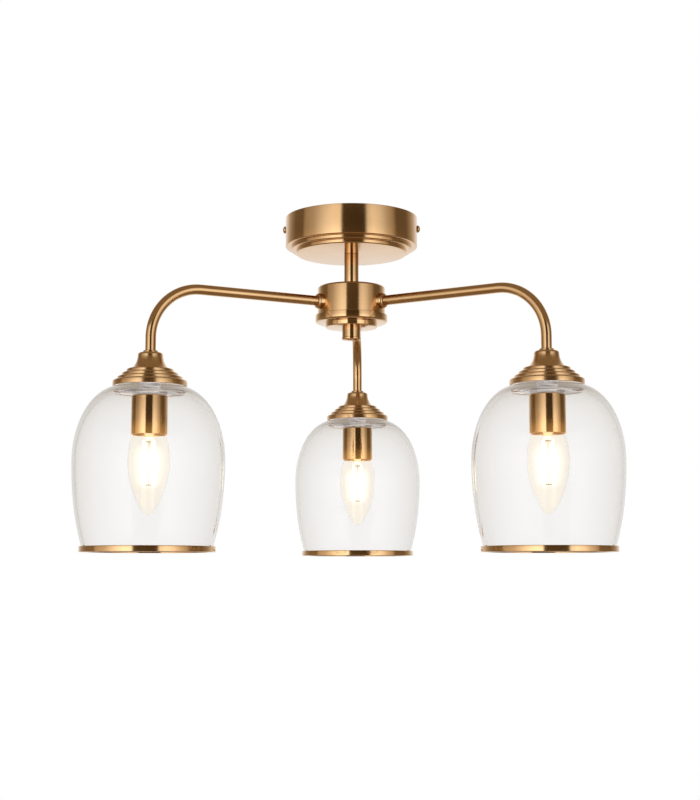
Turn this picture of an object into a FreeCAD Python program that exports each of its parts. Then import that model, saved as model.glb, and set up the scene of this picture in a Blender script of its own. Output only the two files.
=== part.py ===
import FreeCAD, Part
import math
import os

import Sketcher

# Three-arm semi-flush ceiling light, in millimetres.
# The origin is the middle of the ceiling bracket's top face, with +Z up and the light below it.
# Arm 1 points along +Y, and the other two follow at a third of a turn each.

Vector = FreeCAD.Vector
UP = Vector(0, 0, 1)

SIZES = [
    # ceiling cup
    ("canopy_radius", 60.0),
    ("canopy_height", 26.8),
    ("canopy_wall", 1.2),
    ("canopy_step_inset", 4.8),
    ("canopy_step_height", 3.1),
    ("canopy_edge_round", 1.2),
    # ceiling bracket and its fixings
    ("bracket_thickness", 2.0),
    ("bracket_width", 18.0),
    ("bracket_middle_radius", 27.0),
    ("bracket_tab_gap", 1.2),
    ("bracket_tab_height", 17.0),
    ("bracket_bend_round", 1.5),
    ("fixing_spacing", 78.0),
    ("fixing_slot_length", 18.0),
    ("fixing_slot_width", 4.6),
    ("cable_hole_radius", 6.0),
    ("cable_hole_offset", 15.0),
    ("side_screw_level", 9.8),
    ("side_screw_radius", 2.0),
    ("side_screw_length", 8.5),
    ("screw_head_radius", 3.4),
    ("screw_head_height", 2.6),
    ("earth_screw_offset", 16.0),
    # terminal block
    ("block_length", 26.0),
    ("block_width", 13.0),
    ("block_height", 12.0),
    ("block_offset", 8.0),
    ("pole_spacing", 8.0),
    ("pole_depth", 6.0),
    ("wire_hole_radius", 1.45),
    ("clamp_screw_radius", 1.5),
    ("clamp_screw_length", 2.6),
    # stem and the threaded tubes in its ends
    ("stem_radius", 6.6),
    ("stem_length", 30.4),
    ("stem_bore_radius", 3.9),
    ("tube_thread_radius", 5.0),
    ("tube_bore_radius", 3.7),
    ("tube_engagement", 10.0),
    ("tube_nut_flats", 14.0),
    ("tube_nut_height", 4.0),
    ("stem_washer_radius", 10.0),
    ("stem_washer_height", 1.5),
    ("top_tube_stand", 10.0),
    ("wire_window_width", 4.0),
    ("wire_window_height", 7.0),
    # hub
    ("hub_radius", 30.5),
    ("hub_height", 26.1),
    ("hub_wall", 2.0),
    ("hub_top_thickness", 2.5),
    ("hub_edge_round", 2.0),
    ("hub_flange_overhang", 2.1),
    ("hub_flange_height", 7.0),
    ("hub_flange_upper_round", 0.4),
    ("hub_flange_lower_round", 2.0),
    ("hub_plate_radius", 23.4),
    ("hub_plate_height", 4.2),
    ("hub_plate_round", 0.8),
    ("hub_spigot_height", 2.0),
    ("finial_radius", 8.7),
    ("finial_height", 11.1),
    ("finial_round", 0.8),
    ("finial_lip", 0.3),
    ("finial_lip_height", 2.2),
    # arms
    ("arm_reach", 192.0),
    ("arm_drop", 15.4),
    ("arm_bend_radius", 45.0),
    ("arm_leg", 11.3),
    ("arm_tube_radius", 4.5),
    ("arm_thread_radius", 4.0),
    ("arm_bore_radius", 3.0),
    ("arm_hub_thread", 9.0),
    ("arm_nut_flats", 13.0),
    ("arm_nut_height", 4.0),
    ("arm_nut_stand", 1.3),
    ("collar_wall", 2.4),
    ("collar_length", 5.0),
    ("collar_round", 2.1),
    ("end_ring_radius", 6.35),
    ("end_ring_height", 1.8),
    ("end_ring_round", 0.6),
    # lamp leads
    ("lead_radius", 1.2),
    ("lead_ring", 1.75),
    ("lead_bend_radius", 5.0),
    ("lead_side_radius", 3.0),
    ("lead_exit", 4.0),
    # shade cap
    ("cap_wall", 1.6),
    ("bell_radius", 10.5),
    ("bell_height", 14.1),
    ("bell_round", 2.0),
    ("bell_foot_radius", 16.0),
    ("bell_flare_radius", 17.2),
    ("cap_ring_radius", 19.8),
    ("cap_ring_growth", 3.75),
    ("cap_ring_height", 3.2),
    ("cap_ring_round", 1.1),
    ("cap_flange_radius", 31.25),
    ("cap_flange_height", 5.0),
    ("cap_flange_round", 1.4),
    ("cap_seat_depth", 3.0),
    ("cap_seat_width", 4.0),
    # glass shade and its rim
    ("shade_washer_height", 1.0),
    ("glass_radius", 63.7),
    ("glass_swell", 39.0),
    ("glass_shoulder", 62.9),
    ("glass_taper", 109.0),
    ("glass_drop", 137.4),
    ("glass_wall", 3.0),
    ("glass_top_thickness", 8.2),
    ("glass_hole_radius", 8.3),
    ("rim_wall", 2.1),
    ("rim_height", 5.0),
    ("rim_floor", 1.2),
    ("rim_lip", 3.2),
    # lampholder
    ("sleeve_radius", 15.25),
    ("sleeve_wall", 1.0),
    ("sleeve_length", 33.5),
    ("holder_neck_radius", 7.5),
    ("holder_neck_height", 15.5),
    ("holder_floor", 2.5),
    ("holder_depth", 20.5),
    ("holder_contact_radius", 3.2),
    ("holder_contact_height", 0.8),
    ("thread_shell_wall", 0.6),
    ("thread_shell_lift", 1.5),
    # candle bulb with a small screw cap
    ("bulb_radius", 17.7),
    ("bulb_shoulder", 25.0),
    ("bulb_side_radius", 78.2),
    ("bulb_nose_radius", 5.5),
    ("bulb_wall", 0.8),
    ("bulb_neck_radius", 7.9),
    ("bulb_neck_depth", 3.4),
    ("bulb_thread_radius", 6.9),
    ("bulb_contact_radius", 2.4),
    ("bulb_contact_height", 2.0),
    ("bulb_crown_radius", 4.5),
    ("bulb_crown_height", 2.9),
    ("bulb_thread_length", 13.5),
    ("bulb_skirt_height", 6.5),
    ("bulb_cap_wall", 0.8),
    ("filament_length", 38.0),
    ("filament_radius", 0.9),
    ("filament_ring", 5.5),
    ("filament_drop", 9.0),
    ("mount_wire_radius", 0.5),
    ("mount_core_radius", 0.9),
    ("mount_stem_radius", 2.4),
    # clearances
    ("thread_clearance", 0.2),
    ("slip_clearance", 0.35),
    ("seat_clearance", 0.1),
]

ARM_ANGLES = {1: 90.0, 2: 210.0, 3: 330.0}
FILAMENT_ANGLES = (45.0, 135.0, 225.0, 315.0)
CAP_RINGS = 3
HEX_CORNER = 1 / math.sqrt(3)

doc = FreeCAD.newDocument("ceiling_light")
sheet = doc.addObject("Spreadsheet::Sheet", "Dims")
for row, (alias, value) in enumerate(SIZES, start=1):
    sheet.set(f"A{row}", alias)
    sheet.set(f"B{row}", str(value))
    sheet.setAlias(f"B{row}", alias)
doc.recompute()


class Size:
    """A length with the sheet expression that gives it, so sums of named sizes stay bound to them."""

    def __init__(self, value, text):
        self.value = value
        self.text = text

    def __add__(self, other):
        other = as_size(other)
        return Size(self.value + other.value, f"({self.text} + {other.text})")

    def __sub__(self, other):
        other = as_size(other)
        return Size(self.value - other.value, f"({self.text} - {other.text})")

    def __mul__(self, other):
        other = as_size(other)
        return Size(self.value * other.value, f"({self.text} * {other.text})")

    def __truediv__(self, other):
        other = as_size(other)
        return Size(self.value / other.value, f"({self.text} / {other.text})")

    def __neg__(self):
        return Size(-self.value, f"(0 - {self.text})")


def as_size(length):
    if isinstance(length, Size):
        return length
    return Size(float(length), repr(float(length)))


class Named:
    """The sheet's sizes by name."""

    def __getattr__(self, alias):
        return Size(float(sheet.get(alias)), f"Dims.{alias}")


d = Named()
ZERO = as_size(0)

# levels, from the ceiling down
canopy_bottom = -(d.canopy_height + d.canopy_step_height * 2)
canopy_floor = canopy_bottom + d.canopy_wall
bracket_under = -d.bracket_thickness
hub_top = canopy_bottom - d.stem_length
hub_ceiling = hub_top - d.hub_top_thickness
hub_bottom = hub_top - d.hub_height
hub_flange_bottom = hub_bottom - d.hub_flange_height
hub_plate_bottom = hub_flange_bottom - d.hub_plate_height
finial_bottom = hub_plate_bottom - d.finial_height
arm_level = hub_top - d.arm_drop
arm_end = arm_level - d.arm_bend_radius - d.arm_leg
cap_top = arm_end - d.end_ring_height
cap_ceiling = cap_top - d.cap_wall
bell_foot = cap_top - d.bell_height
cap_flange_top = bell_foot - d.cap_ring_height * CAP_RINGS
cap_bottom = cap_flange_top - d.cap_flange_height
cap_seat = cap_bottom + d.cap_seat_depth
glass_top = cap_seat - d.shade_washer_height
glass_ceiling = glass_top - d.glass_top_thickness
glass_middle = cap_bottom - d.glass_shoulder
glass_mouth = cap_bottom - d.glass_drop
sleeve_top = glass_ceiling - d.shade_washer_height
sleeve_bottom = sleeve_top - d.sleeve_length
holder_shoulder = sleeve_top - d.sleeve_wall
holder_ceiling = holder_shoulder - d.holder_floor
holder_bottom = holder_shoulder - d.holder_floor - d.holder_depth
neck_top = holder_shoulder + d.holder_neck_height
bulb_top = holder_ceiling - d.holder_contact_height - d.slip_clearance
bulb_crown = bulb_top - d.bulb_contact_height
bulb_thread_top = bulb_crown - d.bulb_crown_height
bulb_skirt_top = bulb_thread_top - d.bulb_thread_length
bulb_cap_bottom = bulb_skirt_top - d.bulb_skirt_height
bulb_neck = bulb_cap_bottom
bulb_middle = bulb_neck - d.bulb_shoulder

# radii shared by pieces that fit together
canopy_inside = d.canopy_radius - d.canopy_wall
hub_inside = d.hub_radius - d.hub_wall
hub_flange_radius = d.hub_radius + d.hub_flange_overhang
tube_hole = d.tube_thread_radius + d.thread_clearance
arm_hole = d.arm_thread_radius + d.thread_clearance
glass_centre = d.glass_radius - d.glass_swell
cap_inside = d.cap_flange_radius - d.cap_wall
glass_neck = cap_inside - d.slip_clearance
sleeve_inside = d.sleeve_radius - d.sleeve_wall
holder_hole = d.holder_neck_radius + d.thread_clearance
socket_radius = d.bulb_thread_radius + d.slip_clearance + d.thread_shell_wall + d.seat_clearance
bulb_skirt_radius = d.bulb_neck_radius + d.thread_clearance + d.bulb_cap_wall

pieces = []


def keep(piece, label):
    piece.Label = label
    pieces.append(piece)
    return piece


def bind(piece, prop, size):
    piece.setExpression(prop, as_size(size).text)


def place(piece, x=ZERO, y=ZERO, z=ZERO, rotation=FreeCAD.Rotation()):
    piece.Placement = FreeCAD.Placement(Vector(x.value, y.value, z.value), rotation)
    for axis, size in (("x", x), ("y", y), ("z", z)):
        if size is not ZERO:
            bind(piece, f"Placement.Base.{axis}", size)


def fix_point(sketch, edge, end, x, y):
    """Holds one end of a sketch edge at a named place."""
    for kind, axis, size in (("DistanceX", -2, x), ("DistanceY", -1, y)):
        if size is ZERO:
            sketch.addConstraint(Sketcher.Constraint("PointOnObject", edge, end, axis))
        else:
            held = sketch.addConstraint(Sketcher.Constraint(kind, edge, end, size.value))
            sketch.setExpression(f"Constraints[{held}]", size.text)


def sketch_arc(start, finish, radius):
    """A short arc between two points: a positive radius turns left, a negative one turns right."""
    chord = finish - start
    half = chord.Length / 2
    reach = math.sqrt(max(radius * radius - half * half, 0.0))
    left = Vector(-chord.y, chord.x, 0).normalize()
    centre = start + chord / 2 + left * math.copysign(reach, radius)
    first, last = (start, finish) if radius > 0 else (finish, start)
    first_angle = math.atan2(first.y - centre.y, first.x - centre.x)
    last_angle = math.atan2(last.y - centre.y, last.x - centre.x)
    if last_angle < first_angle:
        last_angle += 2 * math.pi
    circle = Part.Circle(centre, UP, abs(radius))
    return Part.ArcOfCircle(circle, first_angle, last_angle)


def draw(sketch, steps, closed=True):
    """Draws from point to point: a step is (x, y) for a line there, or (x, y, radius) for an arc."""
    points = [step[:2] for step in steps]
    count = len(steps) if closed else len(steps) - 1
    edges = []
    for i in range(count):
        j = (i + 1) % len(steps)
        start = Vector(points[i][0].value, points[i][1].value, 0)
        finish = Vector(points[j][0].value, points[j][1].value, 0)
        if len(steps[j]) == 3:
            radius = steps[j][2]
            edge = sketch.addGeometry(sketch_arc(start, finish, radius.value))
            ends = (1, 2) if radius.value > 0 else (2, 1)
            held = sketch.addConstraint(Sketcher.Constraint("Radius", edge, abs(radius.value)))
            sketch.setExpression(f"Constraints[{held}]", (radius if radius.value > 0 else -radius).text)
        else:
            edge = sketch.addGeometry(Part.LineSegment(start, finish))
            ends = (1, 2)
        edges.append((edge, ends))
    for i, (edge, ends) in enumerate(edges):
        fix_point(sketch, edge, ends[0], *points[i])
        if closed or i + 1 < count:
            after, after_ends = edges[(i + 1) % count]
            sketch.addConstraint(Sketcher.Constraint("Coincident", edge, ends[1], after, after_ends[0]))
        else:
            fix_point(sketch, edge, ends[1], *points[i + 1])


def draw_circle(sketch, x, y, radius):
    edge = sketch.addGeometry(Part.Circle(Vector(x.value, y.value, 0), UP, radius.value))
    fix_point(sketch, edge, 3, x, y)
    held = sketch.addConstraint(Sketcher.Constraint("Radius", edge, radius.value))
    sketch.setExpression(f"Constraints[{held}]", radius.text)


def draw_box(sketch, low_x, low_y, high_x, high_y):
    draw(sketch, [(low_x, low_y), (high_x, low_y), (high_x, high_y), (low_x, high_y)])


def new_body(label):
    return doc.addObject("PartDesign::Body", label)


def origin_part(body, role):
    return next(part for part in body.Origin.OriginFeatures if part.Role == role)


def new_sketch(body, role, name, offset=None):
    sketch = body.newObject("Sketcher::SketchObject", f"{body.Name}_{name}")
    sketch.AttachmentSupport = [(origin_part(body, role), "")]
    sketch.MapMode = "FlatFace"
    if offset is not None:
        bind(sketch, "AttachmentOffset.Base.z", offset)
    return sketch


def extrude(body, kind, sketch, length, both_ways=False, reverse=False):
    feature = body.newObject(f"PartDesign::{kind}", f"{sketch.Name}_{kind.lower()}")
    feature.Profile = sketch
    bind(feature, "Length", length)
    feature.Midplane = both_ways
    feature.Reversed = reverse
    return feature


def turn(body, name, steps):
    sketch = new_sketch(body, "XZ_Plane", name)
    draw(sketch, steps)
    feature = body.newObject("PartDesign::Revolution", f"{sketch.Name}_turn")
    feature.Profile = sketch
    feature.ReferenceAxis = (sketch, ["V_Axis"])
    feature.Angle = 360
    return feature


def polar(body, features, copies):
    pattern = body.newObject("PartDesign::PolarPattern", f"{body.Name}_pattern")
    pattern.Originals = features
    pattern.Axis = (origin_part(body, "Z_Axis"), [""])
    pattern.Angle = 360
    pattern.Occurrences = copies
    body.Tip = pattern
    return pattern


def turned(label, steps, x=ZERO, y=ZERO):
    """A round piece turned about an upright axis."""
    body = new_body(label)
    turn(body, "section", steps)
    place(body, x, y)
    return keep(body, label)


def ring(label, inner, outer, top, bottom, x=ZERO, y=ZERO):
    return turned(label, [(inner, top), (outer, top), (outer, bottom), (inner, bottom)], x, y)


def hex_nut(name, flats, height, hole_radius):
    prism = doc.addObject("Part::Prism", f"{name}_hex")
    prism.Polygon = 6
    bind(prism, "Circumradius", flats * HEX_CORNER)
    bind(prism, "Height", height)
    hole = doc.addObject("Part::Cylinder", f"{name}_hole")
    bind(hole, "Radius", hole_radius)
    bind(hole, "Height", height)
    nut = doc.addObject("Part::Cut", name)
    nut.Base = prism
    nut.Tool = hole
    return nut


def group(label, members):
    compound = doc.addObject("Part::Compound", label)
    compound.Links = members
    return keep(compound, label)


def outward(angle):
    """Unit vector from the middle of the light along an arm."""
    return Vector(math.cos(math.radians(angle)), math.sin(math.radians(angle)), 0)


def lamp_axis(angle):
    way = outward(angle)
    return d.arm_reach * way.x, d.arm_reach * way.y


# Ceiling bracket: a strap with turned-down ends and a round middle, slotted for two ceiling screws
tab_face = canopy_inside - d.bracket_tab_gap
tab_inside = tab_face - d.bracket_thickness
outer_bend = d.bracket_thickness + d.bracket_bend_round
bracket = new_body("ceiling_bracket")
strap = new_sketch(bracket, "XZ_Plane", "strap")
draw(strap, [
    (-(tab_face - outer_bend), ZERO, -outer_bend),
    (tab_face - outer_bend, ZERO),
    (tab_face, -outer_bend, -outer_bend),
    (tab_face, -d.bracket_tab_height),
    (tab_inside, -d.bracket_tab_height),
    (tab_inside, -outer_bend),
    (tab_face - outer_bend, bracket_under, d.bracket_bend_round),
    (-(tab_face - outer_bend), bracket_under),
    (-tab_inside, -outer_bend, d.bracket_bend_round),
    (-tab_inside, -d.bracket_tab_height),
    (-tab_face, -d.bracket_tab_height),
    (-tab_face, -outer_bend),
])
extrude(bracket, "Pad", strap, d.bracket_width, both_ways=True)
middle = new_sketch(bracket, "XY_Plane", "middle")
draw_circle(middle, ZERO, ZERO, d.bracket_middle_radius)
extrude(bracket, "Pad", middle, d.bracket_thickness, reverse=True)
holes = new_sketch(bracket, "XY_Plane", "holes")
slot_half = d.fixing_slot_width / 2
slot_reach = d.fixing_slot_length / 2 - slot_half
for side in (-1, 1):
    slot_middle = d.fixing_spacing / 2 * side
    low, high = slot_middle - slot_reach, slot_middle + slot_reach
    draw(holes, [
        (low, -slot_half, slot_half),
        (high, -slot_half),
        (high + slot_half, ZERO, slot_half),
        (high, slot_half, slot_half),
        (low, slot_half),
        (low - slot_half, ZERO, slot_half),
    ])
draw_circle(holes, ZERO, -d.cable_hole_offset, d.cable_hole_radius)
earth_x = -d.earth_screw_offset
earth_y = -d.cable_hole_offset
draw_circle(holes, earth_x, earth_y, d.side_screw_radius + d.seat_clearance)
extrude(bracket, "Pocket", holes, d.bracket_thickness)
tab_holes = new_sketch(bracket, "YZ_Plane", "tab_holes")
draw_circle(tab_holes, ZERO, -d.side_screw_level, d.side_screw_radius + d.seat_clearance)
extrude(bracket, "Pocket", tab_holes, d.canopy_radius * 2, both_ways=True)
keep(bracket, "ceiling_bracket")

# Earth screw: a pan head under the bracket
turned("earth_screw", [
    (ZERO, ZERO),
    (d.side_screw_radius, ZERO),
    (d.side_screw_radius, bracket_under),
    (d.screw_head_radius, bracket_under),
    (d.screw_head_radius, bracket_under - d.screw_head_height / 2),
    (d.screw_head_radius / 2, bracket_under - d.screw_head_height, -d.screw_head_radius),
    (ZERO, bracket_under - d.screw_head_height),
], earth_x, earth_y)

# Terminal block: three poles, with wire holes in both long sides and clamp screws from below
block_back = d.block_offset + d.block_width
block_bottom = bracket_under - d.block_height
pole_level = bracket_under - d.block_height / 2
poles = [-d.pole_spacing, ZERO, d.pole_spacing]
clamp_rows = [d.block_offset + d.block_width / 4, block_back - d.block_width / 4]
block = new_body("terminal_block")
block_plan = new_sketch(block, "XY_Plane", "plan", bracket_under)
draw_box(block_plan, -d.block_length / 2, d.block_offset, d.block_length / 2, block_back)
extrude(block, "Pad", block_plan, d.block_height, reverse=True)
wire_holes = new_sketch(block, "XZ_Plane", "wire_holes", -d.block_offset)
supply_holes = new_sketch(block, "XZ_Plane", "supply_holes", -block_back)
clamp_holes = new_sketch(block, "XY_Plane", "clamp_holes", block_bottom)
for pole in poles:
    draw_circle(wire_holes, pole, pole_level, d.wire_hole_radius)
    draw_circle(supply_holes, pole, pole_level, d.wire_hole_radius)
    for clamp_row in clamp_rows:
        draw_circle(clamp_holes, pole, clamp_row, d.clamp_screw_radius + d.seat_clearance)
extrude(block, "Pocket", wire_holes, d.pole_depth)
extrude(block, "Pocket", supply_holes, d.pole_depth, reverse=True)
extrude(block, "Pocket", clamp_holes, d.clamp_screw_length, reverse=True)
keep(block, "terminal_block")

clamp_screws = []
for number, (pole, clamp_row) in enumerate((p, r) for p in poles for r in clamp_rows):
    screw = doc.addObject("Part::Cylinder", f"clamp_screw_{number}")
    bind(screw, "Radius", d.clamp_screw_radius)
    bind(screw, "Height", d.clamp_screw_length)
    place(screw, pole, clamp_row, block_bottom)
    clamp_screws.append(screw)
group("terminal_screws", clamp_screws)

# Ceiling cup: a spun cup with two steps round its floor
step_one = d.canopy_radius - d.canopy_step_inset
step_two = step_one - d.canopy_step_inset
step_level = -d.canopy_height
step_level_two = step_level - d.canopy_step_height
edge_round = d.canopy_edge_round
canopy = new_body("canopy")
turn(canopy, "section", [
    (canopy_inside, ZERO),
    (d.canopy_radius, ZERO),
    (d.canopy_radius, step_level + edge_round),
    (d.canopy_radius - edge_round, step_level, -edge_round),
    (step_one, step_level),
    (step_one, step_level_two + edge_round),
    (step_one - edge_round, step_level_two, -edge_round),
    (step_two, step_level_two),
    (step_two, canopy_bottom + edge_round),
    (step_two - edge_round, canopy_bottom, -edge_round),
    (tube_hole, canopy_bottom),
    (tube_hole, canopy_floor),
    (step_two - d.canopy_wall, canopy_floor),
    (step_two - d.canopy_wall, step_level_two + d.canopy_wall),
    (step_one - d.canopy_wall, step_level_two + d.canopy_wall),
    (step_one - d.canopy_wall, step_level + d.canopy_wall),
    (canopy_inside, step_level + d.canopy_wall),
])
side_holes = new_sketch(canopy, "YZ_Plane", "side_holes")
draw_circle(side_holes, ZERO, -d.side_screw_level, d.side_screw_radius + d.thread_clearance)
extrude(canopy, "Pocket", side_holes, d.canopy_radius * 2 + d.canopy_wall, both_ways=True)
keep(canopy, "canopy")

# Side screws: dome heads that draw the cup onto the bracket's tabs
side_screws = []
head_flat, head_rise = d.screw_head_radius, d.screw_head_height
dome_radius = (head_flat * head_flat + head_rise * head_rise) / (head_rise * 2)
for side, way in (("right", Vector(1, 0, 0)), ("left", Vector(-1, 0, 0))):
    screw = new_body(f"canopy_screw_{side}")
    seat = d.canopy_radius + d.seat_clearance
    turn(screw, "section", [
        (ZERO, seat - d.side_screw_length),
        (d.side_screw_radius, seat - d.side_screw_length),
        (d.side_screw_radius, seat),
        (d.screw_head_radius, seat),
        (ZERO, seat + d.screw_head_height, dome_radius),
    ])
    place(screw, z=-d.side_screw_level, rotation=FreeCAD.Rotation(UP, way))
    side_screws.append(screw)
group("canopy_screws", side_screws)

# Stem: a plain tube, tapped at both ends
tapped = d.tube_engagement + d.seat_clearance
turned("stem", [
    (tube_hole, canopy_bottom),
    (d.stem_radius, canopy_bottom),
    (d.stem_radius, hub_top),
    (tube_hole, hub_top),
    (tube_hole, hub_top + tapped),
    (d.stem_bore_radius, hub_top + tapped),
    (d.stem_bore_radius, canopy_bottom - tapped),
    (tube_hole, canopy_bottom - tapped),
])

# Threaded tubes: the upper one holds the ceiling cup, the lower one the hub, its cover and the finial
washer_top = canopy_floor + d.stem_washer_height
top_tube_end = canopy_floor + d.top_tube_stand
top_tube_foot = canopy_bottom - d.tube_engagement
ring("canopy_tube", d.tube_bore_radius, d.tube_thread_radius, top_tube_end, top_tube_foot)
ring("stem_washer", tube_hole, d.stem_washer_radius, washer_top, canopy_floor)
stem_nut = hex_nut("stem_top_nut", d.tube_nut_flats, d.tube_nut_height, tube_hole)
place(stem_nut, z=washer_top)
keep(stem_nut, "stem_top_nut")

finial_socket = finial_bottom + d.finial_lip_height
hub_tube = new_body("hub_tube")
turn(hub_tube, "section", [
    (d.tube_bore_radius, hub_top + d.tube_engagement),
    (d.tube_thread_radius, hub_top + d.tube_engagement),
    (d.tube_thread_radius, finial_socket + d.slip_clearance),
    (d.tube_bore_radius, finial_socket + d.slip_clearance),
])
window = new_sketch(hub_tube, "XZ_Plane", "window")
window_bottom = arm_level - d.wire_window_width / 2
draw_box(
    window,
    -d.wire_window_width / 2, window_bottom,
    d.wire_window_width / 2, window_bottom + d.wire_window_height,
)
window_cut = extrude(hub_tube, "Pocket", window, d.tube_thread_radius * 2)
polar(hub_tube, [window_cut], len(ARM_ANGLES))
keep(hub_tube, "hub_tube")
hub_nut = hex_nut("hub_nut", d.tube_nut_flats, d.tube_nut_height, tube_hole)
place(hub_nut, z=hub_ceiling - d.tube_nut_height)
keep(hub_nut, "hub_nut")

# Hub: a drawn cup, open below, with a hole in its wall for each arm
hub = new_body("hub_body")
turn(hub, "section", [
    (tube_hole, hub_top),
    (d.hub_radius - d.hub_edge_round, hub_top),
    (d.hub_radius, hub_top - d.hub_edge_round, -d.hub_edge_round),
    (d.hub_radius, hub_bottom),
    (hub_inside, hub_bottom),
    (hub_inside, hub_ceiling),
    (tube_hole, hub_ceiling),
])
arm_holes = new_sketch(hub, "XZ_Plane", "arm_holes")
draw_circle(arm_holes, ZERO, arm_level, arm_hole)
arm_hole_cut = extrude(hub, "Pocket", arm_holes, d.hub_radius * 2)
polar(hub, [arm_hole_cut], len(ARM_ANGLES))
keep(hub, "hub_body")

# Hub cover: a flange with a smaller stepped plate below it, and a spigot that centres it in the hub
spigot_radius = hub_inside - d.thread_clearance
cover_inside = d.hub_plate_radius - d.hub_wall
cover_floor = hub_plate_bottom + d.hub_wall
upper_round = d.hub_flange_upper_round
lower_round = d.hub_flange_lower_round
plate_round = d.hub_plate_round
turned("hub_cover", [
    (cover_inside, hub_bottom + d.hub_spigot_height),
    (spigot_radius, hub_bottom + d.hub_spigot_height),
    (spigot_radius, hub_bottom),
    (hub_flange_radius - upper_round, hub_bottom),
    (hub_flange_radius, hub_bottom - upper_round, -upper_round),
    (hub_flange_radius, hub_flange_bottom + lower_round),
    (hub_flange_radius - lower_round, hub_flange_bottom, -lower_round),
    (d.hub_plate_radius, hub_flange_bottom),
    (d.hub_plate_radius, hub_plate_bottom + plate_round),
    (d.hub_plate_radius - plate_round, hub_plate_bottom, -plate_round),
    (tube_hole, hub_plate_bottom),
    (tube_hole, cover_floor),
    (cover_inside, cover_floor),
])

# Finial: a turned nut that closes the hub from below
turned("hub_finial", [
    (tube_hole, hub_plate_bottom),
    (d.finial_radius - d.finial_lip, hub_plate_bottom),
    (d.finial_radius - d.finial_lip, finial_bottom + d.finial_lip_height),
    (d.finial_radius, finial_bottom + d.finial_lip_height - d.finial_lip),
    (d.finial_radius, finial_bottom + d.finial_round),
    (d.finial_radius - d.finial_round, finial_bottom, -d.finial_round),
    (ZERO, finial_bottom),
    (ZERO, finial_socket),
    (tube_hole, finial_socket),
])

# Arms: bent tubes, turned down to a threaded end at the hub and at the lamp
arm_start = d.hub_radius + d.seat_clearance
arm_inner_end = arm_start - d.arm_hub_thread
bend_start = d.arm_reach - d.arm_bend_radius
leg_top = arm_level - d.arm_bend_radius
arm_thread_end = holder_shoulder + d.sleeve_wall
for number, angle in ARM_ANGLES.items():
    arm = new_body(f"arm_{number}")
    spine = new_sketch(arm, "XZ_Plane", "spine")
    draw(spine, [
        (arm_start, arm_level),
        (bend_start, arm_level),
        (d.arm_reach, leg_top, -d.arm_bend_radius),
        (d.arm_reach, arm_end),
    ], closed=False)
    section = new_sketch(arm, "YZ_Plane", "section", arm_start)
    draw_circle(section, ZERO, arm_level, d.arm_tube_radius)
    draw_circle(section, ZERO, arm_level, d.arm_bore_radius)
    tube = arm.newObject("PartDesign::AdditivePipe", f"arm_{number}_tube")
    tube.Profile = section
    tube.Spine = (spine, [])
    hub_end = new_sketch(arm, "YZ_Plane", "hub_end", arm_start)
    draw_circle(hub_end, ZERO, arm_level, d.arm_thread_radius)
    draw_circle(hub_end, ZERO, arm_level, d.arm_bore_radius)
    extrude(arm, "Pad", hub_end, d.arm_hub_thread, reverse=True)
    lamp_end = new_sketch(arm, "XY_Plane", "lamp_end", arm_end)
    draw_circle(lamp_end, d.arm_reach, ZERO, d.arm_thread_radius)
    draw_circle(lamp_end, d.arm_reach, ZERO, d.arm_bore_radius)
    extrude(arm, "Pad", lamp_end, arm_end - arm_thread_end, reverse=True)
    place(arm, rotation=FreeCAD.Rotation(UP, angle))
    keep(arm, f"arm_{number}")

# Arm collars: domed ferrules, hollowed on their inner end to sit on the round hub
for number, angle in ARM_ANGLES.items():
    ferrule = new_body(f"arm_collar_{number}_blank")
    collar_hole = d.arm_tube_radius + d.seat_clearance
    collar_radius = collar_hole + d.collar_wall
    collar_end = d.hub_radius + d.collar_length
    turn(ferrule, "section", [
        (collar_hole, hub_inside),
        (collar_radius, hub_inside),
        (collar_radius, collar_end - d.collar_round),
        (collar_radius - d.collar_round, collar_end, d.collar_round),
        (collar_hole, collar_end),
    ])
    place(ferrule, z=arm_level, rotation=FreeCAD.Rotation(UP, outward(angle)))
    seat = doc.addObject("Part::Cylinder", f"arm_collar_{number}_seat")
    bind(seat, "Radius", d.hub_radius + d.seat_clearance)
    bind(seat, "Height", d.hub_height)
    place(seat, z=hub_bottom)
    collar = doc.addObject("Part::Cut", f"arm_collar_{number}")
    collar.Base = ferrule
    collar.Tool = seat
    keep(collar, f"arm_collar_{number}")

arm_nuts = []
nut_face = hub_inside - d.arm_nut_stand
for number, angle in ARM_ANGLES.items():
    nut = hex_nut(f"arm_nut_{number}", d.arm_nut_flats, d.arm_nut_height, arm_hole)
    way = outward(angle)
    nut_start = nut_face - d.arm_nut_height
    place(nut, nut_start * way.x, nut_start * way.y, arm_level, FreeCAD.Rotation(UP, way))
    arm_nuts.append(nut)
group("arm_lock_nuts", arm_nuts)


def rounded_route(start, corners, finish):
    """A wire of straight runs, with a tangent arc of its own radius at each (corner, radius)."""
    edges = []
    here = start
    points = [corner for corner, radius in corners] + [finish]
    for (corner, radius), after in zip(corners, points[1:]):
        arriving = (corner - here).normalize()
        leaving = (after - corner).normalize()
        turn_angle = arriving.getAngle(leaving)
        trim = radius * math.tan(turn_angle / 2)
        inward = (leaving - arriving).normalize()
        middle = corner + inward * radius * (1 / math.cos(turn_angle / 2) - 1)
        first, last = corner - arriving * trim, corner + leaving * trim
        edges.append(Part.LineSegment(here, first).toShape())
        edges.append(Part.Arc(first, middle, last).toShape())
        here = last
    edges.append(Part.LineSegment(here, finish).toShape())
    return Part.Wire(edges)


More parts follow.
